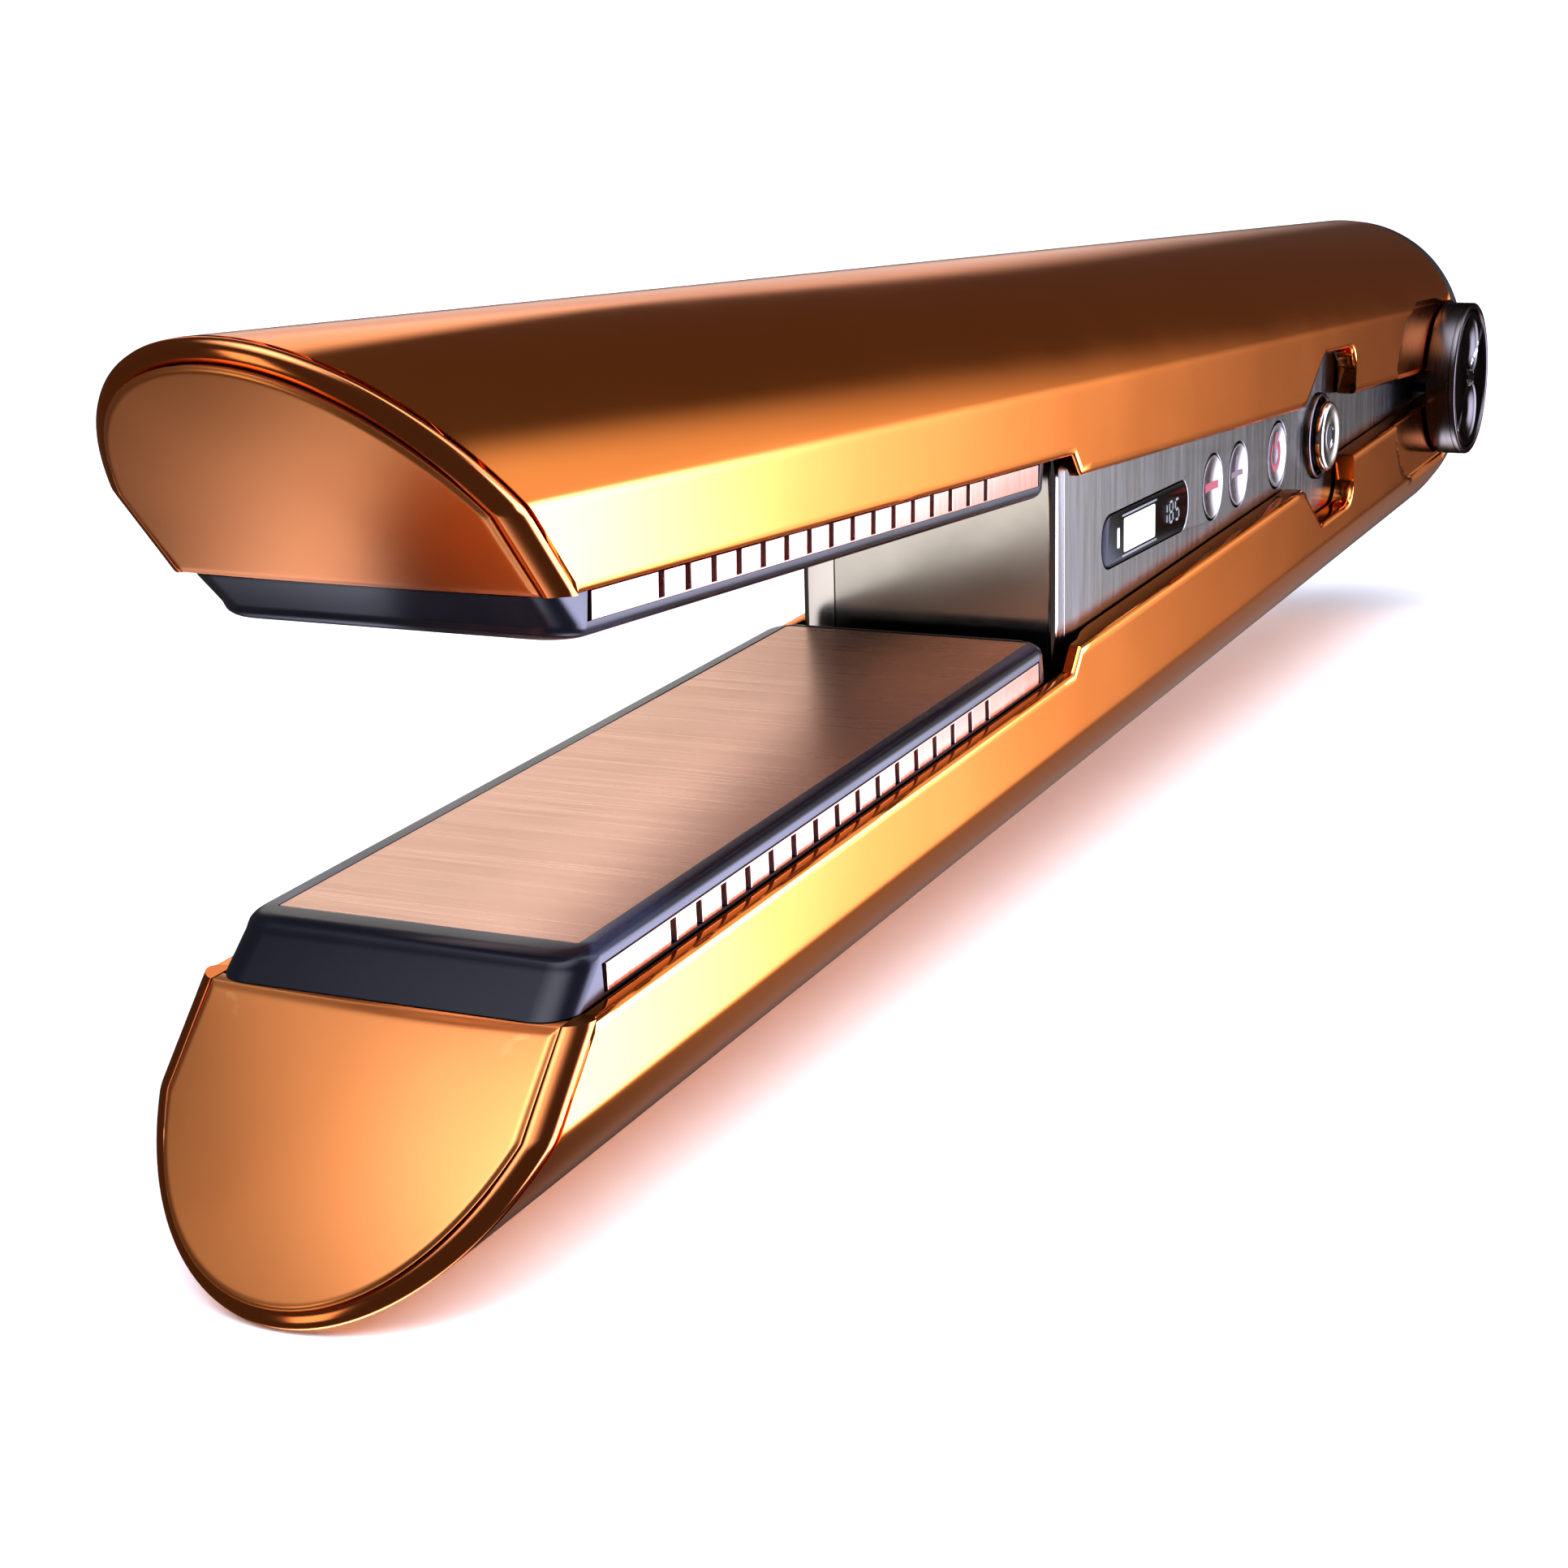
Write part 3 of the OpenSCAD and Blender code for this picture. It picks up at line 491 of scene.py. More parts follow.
def outline(inset, edge_right, edge_left, fillet):
    """D-shaped outline of an arm from the right lower edge over the back to the left one.

    Returns (across, out, normal across, normal out). The crease between flat side and back has a fillet.
    """
    half, r = HALF_W - inset, BACK_R - inset
    # the fillet touches the flat side and, from inside, the curved back
    cy = half - fillet
    cw = BACK_C + math.sqrt((r - fillet) ** 2 - cy ** 2)
    bend = math.atan2(cw - BACK_C, cy)
    right = [(half, edge_right + (cw - edge_right) * k / FLAT_ROWS, 1.0, 0.0)
             for k in range(FLAT_ROWS + 1)]
    corner = []
    for k in range(1, CORNER_ROWS):
        a = bend * k / CORNER_ROWS
        corner.append((cy + fillet * math.cos(a), cw + fillet * math.sin(a), math.cos(a), math.sin(a)))
    back = []
    for k in range(ARC_ROWS + 1):
        a = bend + (math.pi - 2 * bend) * k / ARC_ROWS
        back.append((r * math.cos(a), BACK_C + r * math.sin(a), math.cos(a), math.sin(a)))
    left_corner = [(-y, w, -ny, nw) for y, w, ny, nw in reversed(corner)]
    left = [(-half, edge_left + (cw - edge_left) * k / FLAT_ROWS, -1.0, 0.0)
            for k in range(FLAT_ROWS, -1, -1)]
    return right + corner + back + left_corner + left


def section(edge_right, edge_left):
    """Outer outline of a shell between its two lower edges."""
    return outline(0.0, edge_right, edge_left, FILLET)


def edge_path():
    """Columns of the shell as (station, lower edge) along the side with the notch."""
    stops = []

    def run(u0, u1, n, w0, w1):
        for k in range(n):
            t = k / n
            stops.append((u0 + t * (u1 - u0), w0 + t * (w1 - w0)))

    run(REAR_U, REAR_FINE, 64, GRIP_EDGE, GRIP_EDGE)
    run(REAR_FINE, NOTCH[0][0], 10, GRIP_EDGE, GRIP_EDGE)
    for (u0, w0), (u1, w1) in zip(NOTCH, NOTCH[1:]):
        n = max(1, round(math.hypot(u1 - u0, w1 - w0) / NOTCH_PITCH))
        run(u0, u1, n, w0, w1)
    run(NOTCH[-1][0], STEP_U - STEP_RUN, 30, GRIP_EDGE, GRIP_EDGE)
    run(STEP_U - STEP_RUN, STEP_U, 6, GRIP_EDGE, PLATE_EDGE)
    run(STEP_U, TIP_FINE, 24, PLATE_EDGE, PLATE_EDGE)
    run(TIP_FINE, TIP_U - SHELL_END, 14, PLATE_EDGE, PLATE_EDGE)
    stops.append((TIP_U - SHELL_END, PLATE_EDGE))
    return stops


def plain_edge(u):
    """Lower edge of the shell on the side without a notch."""
    return GRIP_EDGE + (PLATE_EDGE - GRIP_EDGE) * min(max((u - STEP_U + STEP_RUN) / STEP_RUN, 0), 1)


def spread_columns(stops):
    """Even stations for the back above stops that bunch up along the notch."""
    total, out = 0.0, [0.0]
    for (u0, w0), (u1, w1) in zip(stops, stops[1:]):
        total += max(u1 - u0, STEEP_SHARE * math.hypot(u1 - u0, w1 - w0), 1e-3)
        out.append(total)
    lo, hi = stops[0][0], stops[-1][0]
    return [lo + (hi - lo) * v / total for v in out]


def pocket_limit(u, w):
    """Highest across value that the recess beside the disc allows at a place on the side."""
    d = math.hypot(u - min(max(u, 0.0), POCKET_U), w) - POCKET_R
    return POCKET_Y + (HALF_W - POCKET_Y) * smoothstep(*POCKET_WALL, d)


def shell(side, body, name):
    """Shell of one arm: outer skin, rolled lower lips and inner skin in one closed surface."""
    put = on_arm(side)
    stops = edge_path()
    verts = []
    for (u_edge, edge), u_back in zip(stops, spread_columns(stops)):
        left_edge = plain_edge(u_edge if u_edge > PAST_NOTCH else u_back)
        rim = section(edge + LIP_R, left_edge + LIP_R)
        n = len(rim)
        column = []
        slant = smoothstep(SLANT_FROM, TIP_U - SHELL_END, u_back)

        def station(k, w):
            """Mixes the station at the lower edge into the one on the back, then slants it near the tip."""
            t = min(k / FLAT_ROWS, 1.0) if k <= n // 2 else 1.0
            u = u_edge + (u_back - u_edge) * smoothstep(0, 1, t)
            return u + slant * (w - PLATE_EDGE)

        for k, (y, w, _, _) in enumerate(rim):
            u = station(k, w)
            if y > 0:
                y = min(y, pocket_limit(u, w))
            column.append((u, y, w))
        # left lip: rounds under and in, then up the inner skin and back down to the right lip
        u_left, u_right = column[-1][0], column[0][0]
        for a in (30, 60, 90):
            a = math.radians(a)
            column.append((u_left, -HALF_W + LIP_R * (1 - math.cos(a)),
                           left_edge + LIP_R * (1 - math.sin(a))))
        for k in range(n - 1, -1, -4):
            y, w, ny, nw = rim[k]
            low = edge if y > 0 else left_edge
            if k <= FLAT_ROWS or k >= n - 1 - FLAT_ROWS:
                w = w - LIP_R * (1 - min(abs(w - low) / 4.0, 1.0))
            u = station(k, w)
            extra = LIP_EXTRA * (1 - smoothstep(*LIP_FADE, u)) * (1 - smoothstep(*LIP_HEIGHT, w - low))
            column.append((u, y - (WALL + extra) * ny, w - WALL * nw))
        extra = LIP_EXTRA * (1 - smoothstep(*LIP_FADE, u_right))
        column.append((u_right, HALF_W - WALL - extra, edge))
        for a in (90, 60, 30):
            a = math.radians(a)
            column.append((u_right, HALF_W - LIP_R * (1 - math.cos(a)), edge + LIP_R * (1 - math.sin(a))))
        verts += column
    rows = len(stops)
    cols = len(verts) // rows
    faces = grid_faces(rows, cols, closed_cols=True)
    # close the rear end and the tip end between the outer and the inner skin
    for row, turn in ((0, False), (rows - 1, True)):
        faces += ring_cap([row * cols + k for k in range(cols)], turn)
    points = [put(*v) for v in verts]
    return make(name, points, faces, body, shell_copper(), flip=side > 0, sharp=30)


def ring_cap(loop, turn):
    """Strip of faces that closes one end of the shell's wall, both rims at the same share of their length."""
    half = len(section(GRIP_EDGE, GRIP_EDGE))
    # both lists start at the right lip
    outer = loop[:half + 3]
    inner_rim = list(reversed(loop[half + 3:]))
    faces, i, j = [], 0, 0
    while i < len(outer) - 1 or j < len(inner_rim) - 1:
        ti, tj = i / (len(outer) - 1), j / (len(inner_rim) - 1)
        if (ti <= tj and i < len(outer) - 1) or j >= len(inner_rim) - 1:
            f = (outer[i], outer[i + 1], inner_rim[j])
            i += 1
        else:
            f = (outer[i], inner_rim[j + 1], inner_rim[j])
            j += 1
        faces.append(tuple(reversed(f)) if turn else f)
    return faces


# ---------------------------------------------------------------- slanted tips
def tip_outline(inset):
    """Outline of the tip at an inset: (across, out) from the right corner over the back to the left."""
    return [(y, w) for y, w, _, _ in outline(inset, PLATE_EDGE, PLATE_EDGE, max(FILLET - inset, 0.5))]


# (inset, distance behind the tip plane) from the shell's end over the rolled rim to the cap
TIP_PROFILE = [(WALL + 0.5, 3.4), (WALL + 0.1, 3.24), (0.5, 3.16), (0.3, 3.04), (0.3, 2.9), (0.14, 2.78),
               (0.04, 2.6), (0.04, 2.35), (0.13, 1.98), (0.33, 1.58), (0.62, 1.2), (0.96, 0.86),
               (1.3, 0.58), (1.56, 0.44), (1.7, 0.46), (1.76, 0.6), (1.78, 1.0), (1.78, 2.0)]
CAP_RISE, CAP_SINK, CAP_DEPTH = 1.7, 0.35, 1.3      # dome, distance behind the tip plane, thickness
CAP_EDGE_DROP, CAP_EDGE_R = 0.35, 0.6               # rounding of the cap's border


def tip_point(put, back, y, w):
    """Point at a distance behind the slanted tip plane."""
    return put(TIP_U + (w - PLATE_EDGE) - back, y, w)


def tip_trim(side, body, name):
    """Rim around the slanted tip: a rolled band between two grooves, closed at its two lower ends."""
    put = on_arm(side)
    verts, rows = [], len(TIP_PROFILE)
    for inset, back in TIP_PROFILE:
        line = tip_outline(inset)
        verts += [tip_point(put, back, y, w) for y, w in line]
    cols = len(line)
    faces = grid_faces(rows, cols)
    # ends, drawn as fans in the plane of the lower edge
    for col, turn in ((0, True), (cols - 1, False)):
        ring = tuple(i * cols + col for i in range(rows))
        faces.append(tuple(reversed(ring)) if turn else ring)
    return make(name, verts, faces, body, trim_copper(), flip=side < 0, sharp=38)


def end_cap(side, body, name):
    """Satin cap: a shallow dome with rounded edges inside the rim."""
    put = on_arm(side)
    half, r = HALF_W - CAP_INSET, BACK_R - CAP_INSET
    across, up = 72, 56
    low, mid, reach = PLATE_EDGE + 0.06, 13.0, 12.0
    verts = []
    for i in range(up + 1):
        for j in range(across + 1):
            a = math.pi * j / across
            y = half * math.cos(a)
            top = BACK_C + math.sqrt(max(r * r - y * y, 0))
            t = 0.5 - 0.5 * math.cos(math.pi * i / up)
            w = low + t * (top - low)
            edge = min(half - abs(y), r - math.hypot(y, w - BACK_C), w - low)
            round_off = CAP_EDGE_DROP * (1 - smoothstep(0.0, CAP_EDGE_R, edge)) ** 2
            dome = CAP_RISE * (1 - (y / HALF_W) ** 2) * (1 - ((w - mid) / reach) ** 2)
            verts.append(put(TIP_U + (w - PLATE_EDGE) - CAP_SINK - round_off + dome, y, w))
    faces = grid_faces(up + 1, across + 1)
    cols = across + 1
    # border of the dome, from the lower edge round to the start
    loop = list(range(cols)) + [i * cols + across for i in range(1, up + 1)]
    loop += [up * cols + j for j in range(across - 1, -1, -1)] + [i * cols for i in range(up - 1, 0, -1)]
    base = len(verts)
    back_shift = put(0, 0, 0) - put(CAP_DEPTH, 0, 0)
    verts += [verts[k] + back_shift for k in loop]
    n = len(loop)
    faces += [(loop[k], base + k, base + (k + 1) % n, loop[(k + 1) % n]) for k in range(n)]
    faces.append(tuple(base + k for k in reversed(range(n))))
    return make(name, verts, faces, body, cap_copper(), flip=side > 0, sharp=50)


# ---------------------------------------------------------------- plate frames
FINGER_WINDOW, WINDOW_STEPS, CORNER_STEPS = (165.2, 256.1), 12, 8
PLATE_OPENING, OPENING_HALF = (163.0, 255.9), 13.46
FLANGE_Y = 13.4             # how far inwards the flanges of the finger windows reach
TURN_STEPS, TURN_BACK, TURN_IN = 7, 0.9, 1.1        # rounded edge around the plate


def frame_ring(u0, u1, half, w, r):
    """One level of the plate's surround. Side points keep the stations of the finger window."""
    pts = []
    start, end = FINGER_WINDOW
    stations = [start + (end - start) * k / WINDOW_STEPS for k in range(WINDOW_STEPS + 1)]

    def arc(cu, cy, from_angle):
        for k in range(CORNER_STEPS + 1):
            a = math.radians(from_angle + 90 * k / CORNER_STEPS)
            pts.append((cu + r * math.cos(a), cy + r * math.sin(a), w))

    arc(u1 - r, half - r, 0)
    pts += [(min(max(u, u0 + r), u1 - r), half, w) for u in reversed(stations)]
    arc(u0 + r, half - r, 90)
    arc(u0 + r, -half + r, 180)
    pts += [(min(max(u, u0 + r), u1 - r), -half, w) for u in stations]
    arc(u1 - r, -half + r, 270)
    return pts


def plate_frame(side, body, name):
    """Dark tapered surround with rounded edges and a long window for the fingers at each side."""
    put = on_arm(side)
    rear, front = 161.6, 262.5
    # levels from the shell to the plate: rear station, front station, half width, height out, corner radius
    levels = [(rear, front, 15.45, 3.95, 3.0), (rear, front - 0.25, 15.44, 3.7, 3.0),
              (rear + 0.25, front - 3.0, 15.38, 1.4, 3.0)]
    for k in range(1, TURN_STEPS + 1):
        a, t = math.radians(90 * k / TURN_STEPS), k / TURN_STEPS
        turned = 1 - math.cos(a)
        levels.append((rear + 0.25 + TURN_BACK * turned, front - 3.2 - 1.5 * turned - 0.3 * t,
                       15.38 - TURN_IN * turned, 1.3 - 1.2 * math.sin(a), 3.0 - 0.4 * t))
    (u0, u1), half = PLATE_OPENING, OPENING_HALF
    levels += [(u0, u1, half, 0.1, 0.35), (u0 + 0.02, u1 - 0.02, half - 0.02, 0.16, 0.35),
               (u0 + 0.02, u1 - 0.02, half - 0.02, 1.6, 0.35)]
    rings = [frame_ring(*level) for level in levels]
    cols = len(rings[0])
    verts = [p for ring in rings for p in ring]
    corner = CORNER_STEPS + 1
    right = range(corner, corner + WINDOW_STEPS)
    left = range(cols - corner - WINDOW_STEPS - 1, cols - corner - 1)
    skip = {(1, c) for c in list(right) + list(left)}
    faces = [f for k, f in enumerate(grid_faces(len(rings), cols, closed_cols=True))
             if divmod(k, cols) not in skip]
    # inner flanges of the two windows
    for span_cols, inner_y in ((right, FLANGE_Y), (left, -FLANGE_Y)):
        run = list(span_cols) + [span_cols[-1] + 1]
        outer = [cols + c for c in run] + [2 * cols + c for c in reversed(run)]
        base = len(verts)
        verts += [(verts[k][0], inner_y, verts[k][2]) for k in outer]
        n = len(outer)
        faces += [(outer[k], outer[(k + 1) % n], base + (k + 1) % n, base + k) for k in range(n)]
    return make(name, [put(*v) for v in verts], faces, body, frame_navy(),
                flip=side > 0, sharp=40)


for side, arm in ((1, "upper"), (-1, "lower")):
    body = arm + "_arm"
    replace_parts(shell(side, body, arm + "_shell_skin"), arm + "_shell")
    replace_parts(tip_trim(side, body, arm + "_tip_rim"), arm + "_tip_trim")
    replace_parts(end_cap(side, body, arm + "_cap_dome"), arm + "_end_cap")
    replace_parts(plate_frame(side, body, arm + "_surround"), arm + "_plate_frame")

# ---------------------------------------------------------------- display and controls
display_x, display_z = 128.8, -0.85
MARK_LIFT = 0.06            # how far the lit marks stand out of the glass
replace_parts(slab("display_glass", rounded(display_x, display_z, 29.2, 5.7, 2.5, 12),
                 SPINE_Y - 1.15, SPINE_Y + 0.02,
                 "spine", glass_black(), bevel=0.35), "display_window")


def segment(name, x, z, length, height, material, r=0.12):
    """Small raised mark on the display."""
    return slab(name, rounded(x, z, length, height, min(r, length / 2.1, height / 2.1), 3), SPINE_Y,
                SPINE_Y + MARK_LIFT, "spine", material, bevel=0.02)


lit = glow("display_lit", (250, 252, 255), 1.6)
dim = glow("display_dim", (170, 176, 182), 0.5)
mark_z = -0.9
battery_x = 131.2
segment("battery_level", battery_x, mark_z, 10.4, 3.7, lit, r=0.25)
segment("battery_end", 138.2, mark_z, 0.7, 2.2, lit, r=0.2)
for k, z in enumerate((1.3, -3.1)):
    segment(f"battery_rim_{k}", battery_x, z, 11.6, 0.22, dim)
# seven-part digits: which parts are lit, and each part's place and whether it lies flat
DIGITS = {"1": "bc", "5": "afgcd", "8": "abcdefg"}
PLACES = {"a": (0, 1, True), "g": (0, 0, True), "d": (0, -1, True), "b": (1, 0.5, False),
          "f": (-1, 0.5, False), "c": (1, -0.5, False), "e": (-1, -0.5, False)}
FIRST_DIGIT_X, DIGIT_STEP, DIGIT_HALF_W, DIGIT_HALF_H = 122.4, 2.1, 0.6, 1.15
for k, digit in enumerate("185"):
    for part in DIGITS[digit]:
        px, pz, flat = PLACES[part]
        segment(f"digit_{k}_{part}", FIRST_DIGIT_X - DIGIT_STEP * k - DIGIT_HALF_W * px,
                mark_z + DIGIT_HALF_H * pz, 0.9 if flat else 0.3, 0.3 if flat else 0.85, dim)

BUTTON_FRONT, DISH_DEPTH, DISH_R = 14.4, 0.45, 14.0     # the CAD buttons have a dished face


def dish_y(r):
    """Surface of a button's shallow dish at a radius."""
    return BUTTON_FRONT - DISH_DEPTH + DISH_R - math.sqrt(DISH_R ** 2 - r * r)


def button_mark(name, x, z, outline, material, body, lift=0.035):
    """Printed mark that follows the dish of a button.

    outline is in millimetres around the button's middle.
    """
    n = len(outline)
    verts = [free(x + a, dish_y(math.hypot(a, b)) + h, z + b) for h in (0.0, lift) for a, b in outline]
    faces = [tuple(range(n)), tuple(reversed(range(n, 2 * n)))]
    faces += [(k, k + n, (k + 1) % n + n, (k + 1) % n) for k in range(n)]
    return make(name, verts, faces, body, material)


def strip(x0, x1, z0, z1, n=10):
    """Outline of a straight bar, with points along its length."""
    if x1 - x0 > z1 - z0:
        top = [(x0 + (x1 - x0) * k / n, z1) for k in range(n + 1)]
        return [(x, z0) for x, _ in top] + list(reversed(top))
    right = [(x1, z0 + (z1 - z0) * k / n) for k in range(n + 1)]
    return right + [(x0, z) for _, z in reversed(right)]


def ring_mark(name, x, z, r0, r1, a0, a1, material, body, n=40):
    """Arc-shaped mark on a button."""
    angles = [math.radians(a0 + (a1 - a0) * k / n) for k in range(n + 1)]
    outer = [(r1 * math.cos(a), r1 * math.sin(a)) for a in angles]
    inner = [(a * r0 / r1, b * r0 / r1) for a, b in reversed(outer)]
    return button_mark(name, x, z, outer + inner, material, body)


control_z = -0.4
minus_x, plus_x, power_x = 104.9, 94.8, 78.4
for name, x, bar, colour, key in (
        ("minus_mark", minus_x, (-2.5, 2.5, -0.48, 0.48), red_mark, "minus_key"),
        ("plus_mark_level", plus_x, (-2.3, 2.3, -0.34, 0.34), grey_mark, "plus_key"),
        ("plus_mark_upright", plus_x, (-0.34, 0.34, -2.3, 2.3), grey_mark, "plus_key")):
    button_mark(name, x, control_z, strip(*bar), colour(), key)
ring_mark("power_mark_ring", power_x, control_z, 1.35, 2.1, -230, 50, red_mark(), "power_key")
button_mark("power_mark_bar", power_x, control_z, strip(-0.42, 0.42, 0.5, 2.8), red_mark(), "power_key")

# ---------------------------------------------------------------- lock button and its collar
lock_x, lock_z = 60.0, -0.5
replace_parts(lathe("lock_face", lock_x, lock_z,
                  [(0, 15.3), (4.5, 15.3), (4.5, 15.75), (4.42, 15.95), (4.2, 16.12), (3.9, 16.18),
                   (3.3, 16.05), (2.6, 15.98), (1.9, 15.98), (1.7, 16.0), (1.58, 15.9), (1.5, 15.6),
                   (0, 15.6)],
                  "lock_key", silver()), "lock_button")
lathe("lock_barrel", lock_x, lock_z,
      [(0, 12.1), (5.0, 12.1), (5.0, 12.95), (4.5, 13.0), (4.5, 15.3), (0, 15.3)],
      "lock_key", barrel_black())
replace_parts(lathe("lock_ring", lock_x, lock_z,
                  [(4.76, 14.32), (5.62, 14.32), (5.64, 14.6), (5.55, 14.8), (5.35, 14.9), (5.05, 14.86),
                   (4.85, 14.7), (4.76, 14.5), (4.76, 14.32)],
                  "spine", gunmetal()), "lock_collar")
lathe("lock_hole", lock_x, lock_z, [(0, 15.6), (1.5, 15.6), (1.46, 15.78), (1.3, 15.84), (0, 15.84)],
      "lock_key", black_nylon(), sides=32)

# ---------------------------------------------------------------- hinge disc
DISC_BACK = 16.4
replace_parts(lathe("disc_body", 0, 0,
                  [(0, DISC_BACK), (10.6, DISC_BACK), (10.9, DISC_BACK + 0.15), (11.0, DISC_BACK + 0.45),
                   (11.0, 19.75), (10.93, 19.8), (10.93, 19.92), (11.0, 19.97), (11.0, 20.35), (10.93, 20.55),
                   (10.78, 20.66), (10.55, 20.7), (10.25, 20.68), (10.1, 20.6), (10.02, 20.4), (10.0, 19.6),
                   (0, 19.6)], "spine", gunmetal(), sides=144), "hinge_disc")
INSERT_Y, INSERT_R = 20.5, 9.98
SCOOP_HALF, SCOOP_Z, SCOOP_DEPTH, SCOOP_STEP = (4.3, 4.1), 4.6, 0.5, 0.15
WAIST_HALF, WAIST_DEPTH = (2.2, 1.5), 0.75


def disc_height(x, z):
    """Face of the disc's insert: a flat ring, two scoops above each other and a waist between them."""
    r = math.hypot(x, z)
    top = INSERT_Y - 0.12 * smoothstep(9.3, 9.9, r) - 0.5 * smoothstep(9.85, 10.0, r)
    best = 0.0
    for s in (-1, 1):
        d = math.hypot(x / SCOOP_HALF[0], (z - s * SCOOP_Z) / SCOOP_HALF[1])
        scoop = SCOOP_DEPTH * (1 - smoothstep(0.35, 1.0, d)) + SCOOP_STEP * (1 - smoothstep(0.96, 1.02, d))
        best = max(best, scoop)
    waist = 1 - smoothstep(0.85, 1.0, math.hypot(x / WAIST_HALF[0], z / WAIST_HALF[1]))
    return top - max(best, WAIST_DEPTH * waist)


rings, sides = 60, 144
verts = [free(0, disc_height(0, 0), 0)]
for i in range(1, rings + 1):
    r = INSERT_R * i / rings
    for k in range(sides):
        a = 2 * math.pi * k / sides
        x, z = r * math.cos(a), r * math.sin(a)
        verts.append(free(x, disc_height(x, z), z))
faces = [(0, 1 + k, 1 + (k + 1) % sides) for k in range(sides)]
for i in range(rings - 1):
    for k in range(sides):
        a, b = 1 + i * sides + k, 1 + i * sides + (k + 1) % sides
        faces.append((a, a + sides, b + sides, b))
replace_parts(make("disc_insert", verts, faces, "spine", disc_silver(), sharp=50), "disc_face")
lathe("disc_stud", 0, 0,
      [(1.5, 19.5), (1.5, 19.95), (1.3, 20.1), (0.85, 20.1), (0.75, 19.95), (0.7, 19.6), (0, 19.6)],
      "spine", gunmetal(), sides=48)

# rounded edges on the CAD pieces that stay visible, in millimetres
for node, width in (("spine_housing", 0.12), ("spine_side_cover", 0.12), ("spine_side_trim", 0.1),
                    ("hinge_cap", 0.2), ("upper_plate", 0.08), ("lower_plate", 0.08)):
    soften(frame["nodes"][node], width)

# ---------------------------------------------------------------- camera
CAMERA_FROM_HINGE = Vector((436.915, 118.397, 54.751)) * MM
VIEW_LINE = Vector((-0.87084, -0.42178, -0.25247))
CAMERA_ROLL = math.radians(-1.436)
LENS_MM = 68.03

cam_data = bpy.data.cameras.new("camera")
cam_data.lens = LENS_MM
cam_data.sensor_width = 36.0
cam_data.clip_start = 0.01
camera = bpy.data.objects.new("camera", cam_data)
bpy.context.collection.objects.link(camera)
turn = VIEW_LINE.to_track_quat("-Z", "Y").to_matrix().to_4x4() @ Matrix.Rotation(CAMERA_ROLL, 4, "Z")
camera.matrix_world = Matrix.Translation(HINGE + CAMERA_FROM_HINGE) @ turn
bpy.context.scene.camera = camera

# ---------------------------------------------------------------- floor sweep
SWEEP_R, SWEEP_HALF_W = 1.2, 3.0        # metres
FLAT_STEPS, CURVE_STEPS, WALL_STEPS = 8, 24, 8
sweep = []
for k in range(FLAT_STEPS + CURVE_STEPS + WALL_STEPS + 1):
    if k <= FLAT_STEPS:
        x, z = 3.0 - 0.45 * k, 0.0
    else:
        a = math.radians(min(90, (k - FLAT_STEPS) * 90 / CURVE_STEPS))
        x, z = -0.6 - SWEEP_R * math.sin(a), SWEEP_R * (1 - math.cos(a))
        if k > FLAT_STEPS + CURVE_STEPS:
            z += 0.3 * (k - FLAT_STEPS - CURVE_STEPS)
    sweep.append((x, z))
verts = [(x, y, z) for x, z in sweep for y in (-SWEEP_HALF_W, SWEEP_HALF_W)]
mesh = bpy.data.meshes.new("floor")
mesh.from_pydata(verts, [], [(2 * k, 2 * k + 1, 2 * k + 3, 2 * k + 2) for k in range(len(sweep) - 1)])
mesh.polygons.foreach_set("use_smooth", [True] * len(mesh.polygons))
floor = bpy.data.objects.new("floor", mesh)
bpy.context.collection.objects.link(floor)
floor.data.materials.append(plastic("floor_pale", lin((246, 246, 246)), lin((249, 249, 249)),
                                    (0.85, 0.95), bump=0.0))
floor.visible_glossy = False


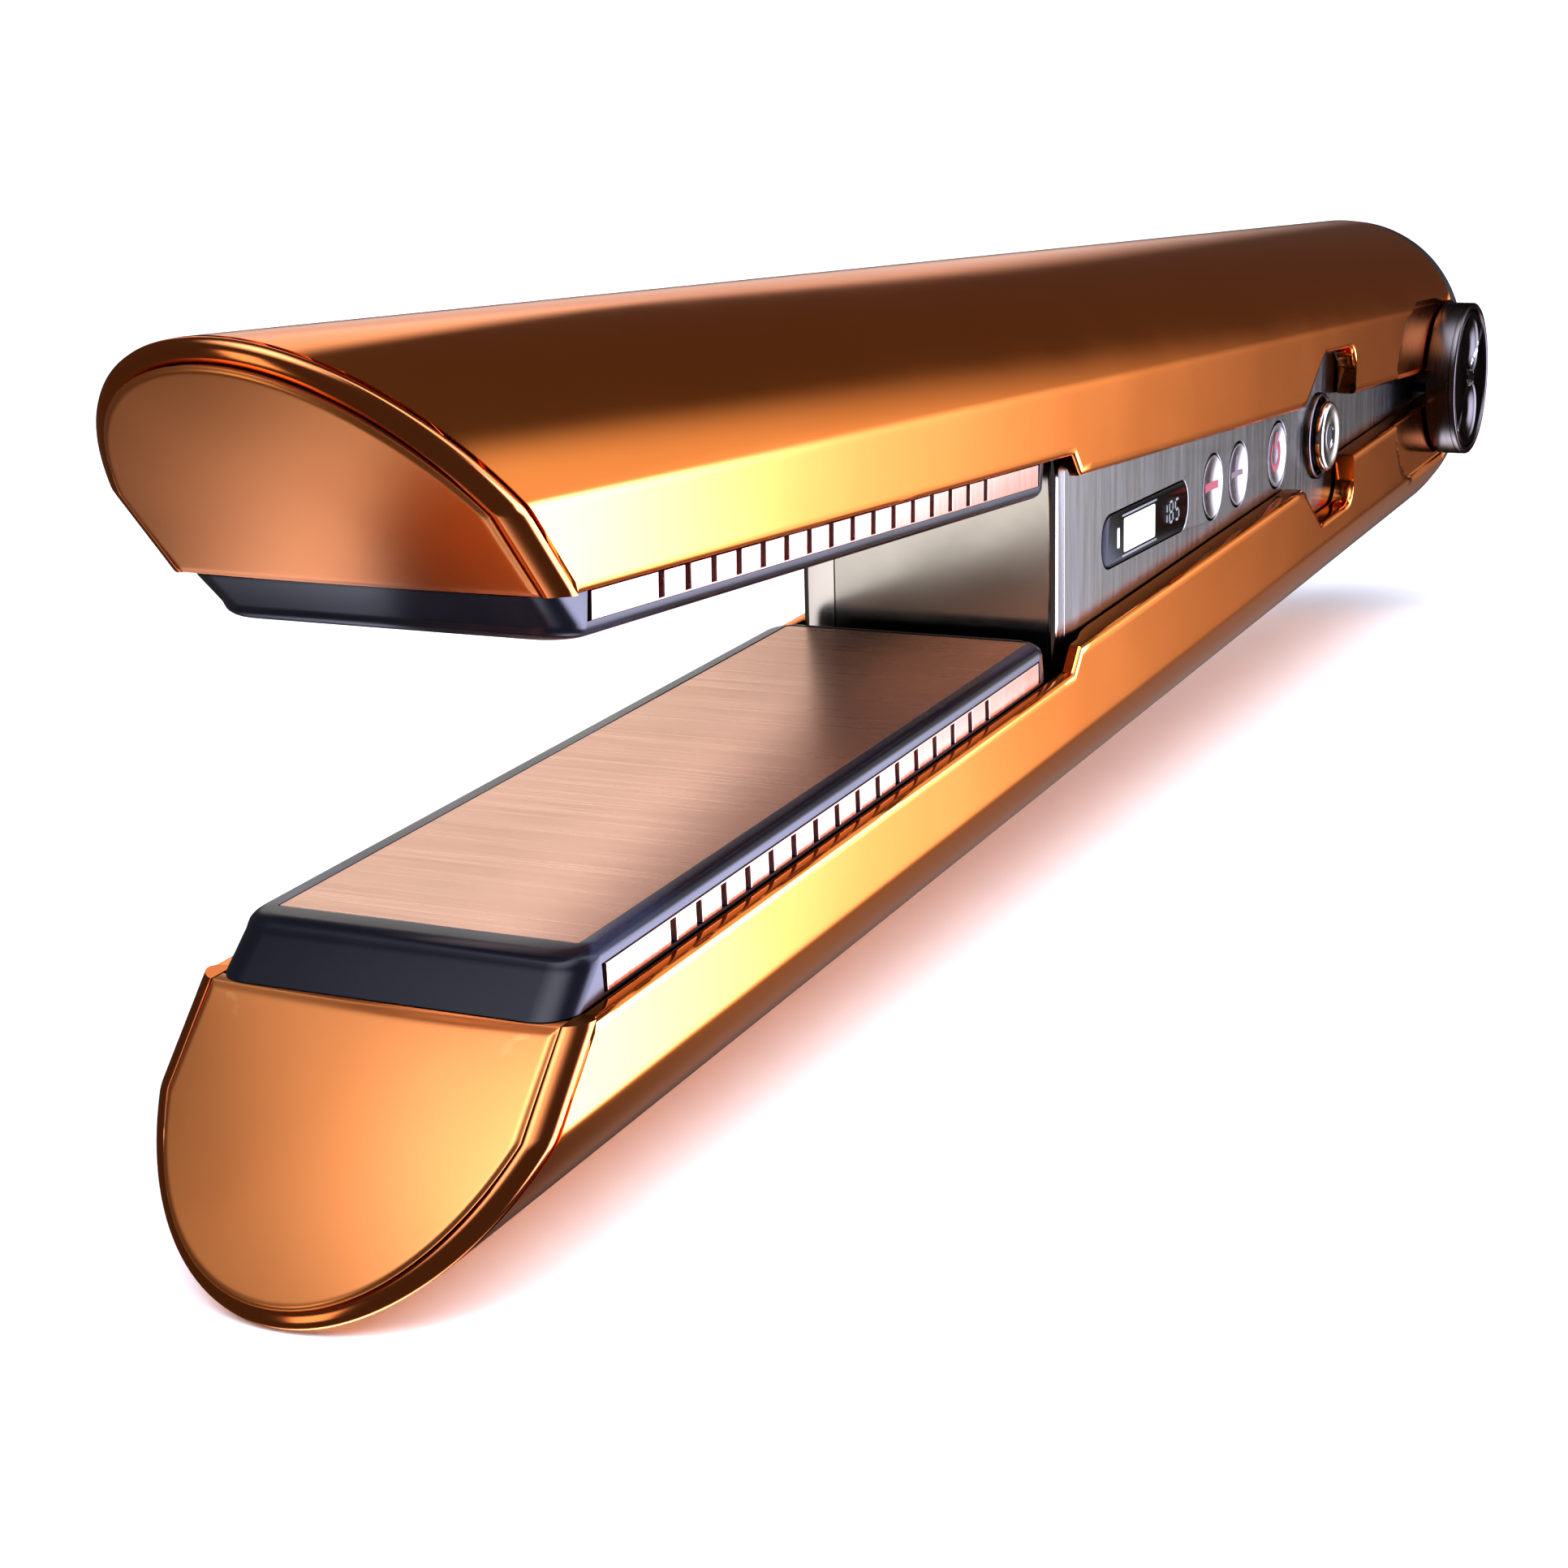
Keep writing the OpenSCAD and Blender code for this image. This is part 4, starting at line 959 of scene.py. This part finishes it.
# ---------------------------------------------------------------- studio: soft boxes painted on the world
class Sky:
    """Soft-edged lights at chosen directions, added up in the world's colour."""

    def __init__(self, base):
        self.world = bpy.data.worlds.new("studio")
        bpy.context.scene.world = self.world
        self.world.use_nodes = True
        self.tree = self.world.node_tree
        self.vector = self.tree.nodes.new("ShaderNodeTexCoord").outputs["Generated"]
        self.total = None
        self.base = base

    def math(self, operation, a, b=None):
        """A math node. a and b are sockets or numbers."""
        node = self.tree.nodes.new("ShaderNodeMath")
        node.operation = operation
        for socket, value in zip(node.inputs, (a, b)):
            if value is None:
                continue
            if isinstance(value, (int, float)):
                socket.default_value = value
            else:
                self.tree.links.new(value, socket)
        return node.outputs[0]

    def falloff(self, value, inner, outer):
        """1 up to the inner distance, 0 beyond the outer one."""
        node = self.tree.nodes.new("ShaderNodeMapRange")
        node.interpolation_type = "SMOOTHSTEP"
        for name, v in (("From Min", inner), ("From Max", outer), ("To Min", 1.0), ("To Max", 0.0)):
            node.inputs[name].default_value = v
        self.tree.links.new(self.math("ABSOLUTE", value), node.inputs["Value"])
        return node.outputs["Result"]

    def box(self, azimuth, elevation, wide, tall, strength, tint=(1, 1, 1)):
        """Box at an azimuth and elevation. wide and tall are (inner, outer) half angles in degrees."""
        turn = self.tree.nodes.new("ShaderNodeVectorRotate")
        turn.rotation_type = "Z_AXIS"
        turn.inputs["Angle"].default_value = -math.radians(azimuth)
        self.tree.links.new(self.vector, turn.inputs["Vector"])
        split = self.tree.nodes.new("ShaderNodeSeparateXYZ")
        self.tree.links.new(turn.outputs["Vector"], split.inputs["Vector"])
        x, y, z = split.outputs
        az = self.math("ARCTAN2", y, x)
        el = self.math("SUBTRACT", self.math("ARCSINE", z), math.radians(elevation))
        mask = self.math("MULTIPLY", self.falloff(az, math.radians(wide[0]), math.radians(wide[1])),
                         self.falloff(el, math.radians(tall[0]), math.radians(tall[1])))
        self.add(mask, strength, tint)

    def spot(self, direction, inner, outer, strength, tint=(1, 1, 1)):
        """Round soft light around a direction. inner and outer are angles in degrees."""
        dot = self.tree.nodes.new("ShaderNodeVectorMath")
        dot.operation = "DOT_PRODUCT"
        dot.inputs[1].default_value = Vector(direction).normalized()
        self.tree.links.new(self.vector, dot.inputs[0])
        angle = self.math("ARCCOSINE", dot.outputs["Value"])
        self.add(self.falloff(angle, math.radians(inner), math.radians(outer)), strength, tint)

    def add(self, mask, strength, tint):
        """Adds one light to the running total."""
        scale = self.tree.nodes.new("ShaderNodeVectorMath")
        scale.operation = "SCALE"
        scale.inputs[0].default_value = tuple(strength * t for t in tint)
        self.tree.links.new(mask, scale.inputs["Scale"])
        if self.total is None:
            self.total = scale.outputs[0]
        else:
            total = self.tree.nodes.new("ShaderNodeVectorMath")
            total.operation = "ADD"
            self.tree.links.new(self.total, total.inputs[0])
            self.tree.links.new(scale.outputs[0], total.inputs[1])
            self.total = total.outputs[0]

    def close(self):
        """Adds the even base light and joins the total to the background."""
        add = self.tree.nodes.new("ShaderNodeVectorMath")
        add.operation = "ADD"
        add.inputs[1].default_value = self.base
        self.tree.links.new(self.total, add.inputs[0])
        self.tree.links.new(add.outputs[0], self.tree.nodes["Background"].inputs["Color"])


sky = Sky((0.088, 0.07, 0.062))
warm = (1.0, 0.97, 0.93)
for azimuth, elevation, wide, tall, strength, tint in (
        # big boxes past the hinge, on the display side: the sides and backs of the shells
        (126, -12, (23, 29), (14, 26), 6.0, (0.97, 1.0, 1.8)),
        (130, -12, (18, 32), (14, 26), 2.6, (1.0, 1.04, 1.25)),
        (148, 2, (8, 20), (20, 36), 0.95, (1.0, 0.92, 0.85)),
        (122, 42, (8, 20), (22, 36), 3.2, (0.98, 1.0, 1.4)),
        # weaker ones past the hinge: the lower arm's underside, the plates and the upper edge
        (178, -24, (12, 30), (6, 14), 0.2, warm),
        (-143, 20, (9, 14), (5, 11), 1.2, warm),
        (-151, 7, (8, 17), (4, 8), 0.8, warm)):
    sky.box(azimuth, elevation, wide, tall, strength, tint)
# round lights below and above: the end caps
sky.spot((-0.32, -0.15, -0.93), 5, 33, 8.0, (1.0, 1.08, 1.4))
sky.spot((0.36, 0.02, 0.93), 4, 43, 4.8, (1.0, 1.08, 1.4))
# past the tip: the front face of the spine
sky.box(-15, -12, (6, 13), (10, 18), 2.6, (1.0, 0.92, 0.88))
sky.close()

LAMP_SIZE = 1.2
for name, place, power in (("key", (0.2, 0.9, 1.3), 18.0), ("fill", (0.9, -0.5, 1.1), 12.0)):
    light = bpy.data.lights.new(name, "AREA")
    light.size = LAMP_SIZE
    light.energy = power
    lamp = bpy.data.objects.new(name, light)
    bpy.context.collection.objects.link(lamp)
    lamp.location = place
    lamp.rotation_euler = (-Vector(place)).to_track_quat("-Z", "Y").to_euler()
    lamp.visible_glossy = False

bpy.context.scene.view_settings.view_transform = "Standard"
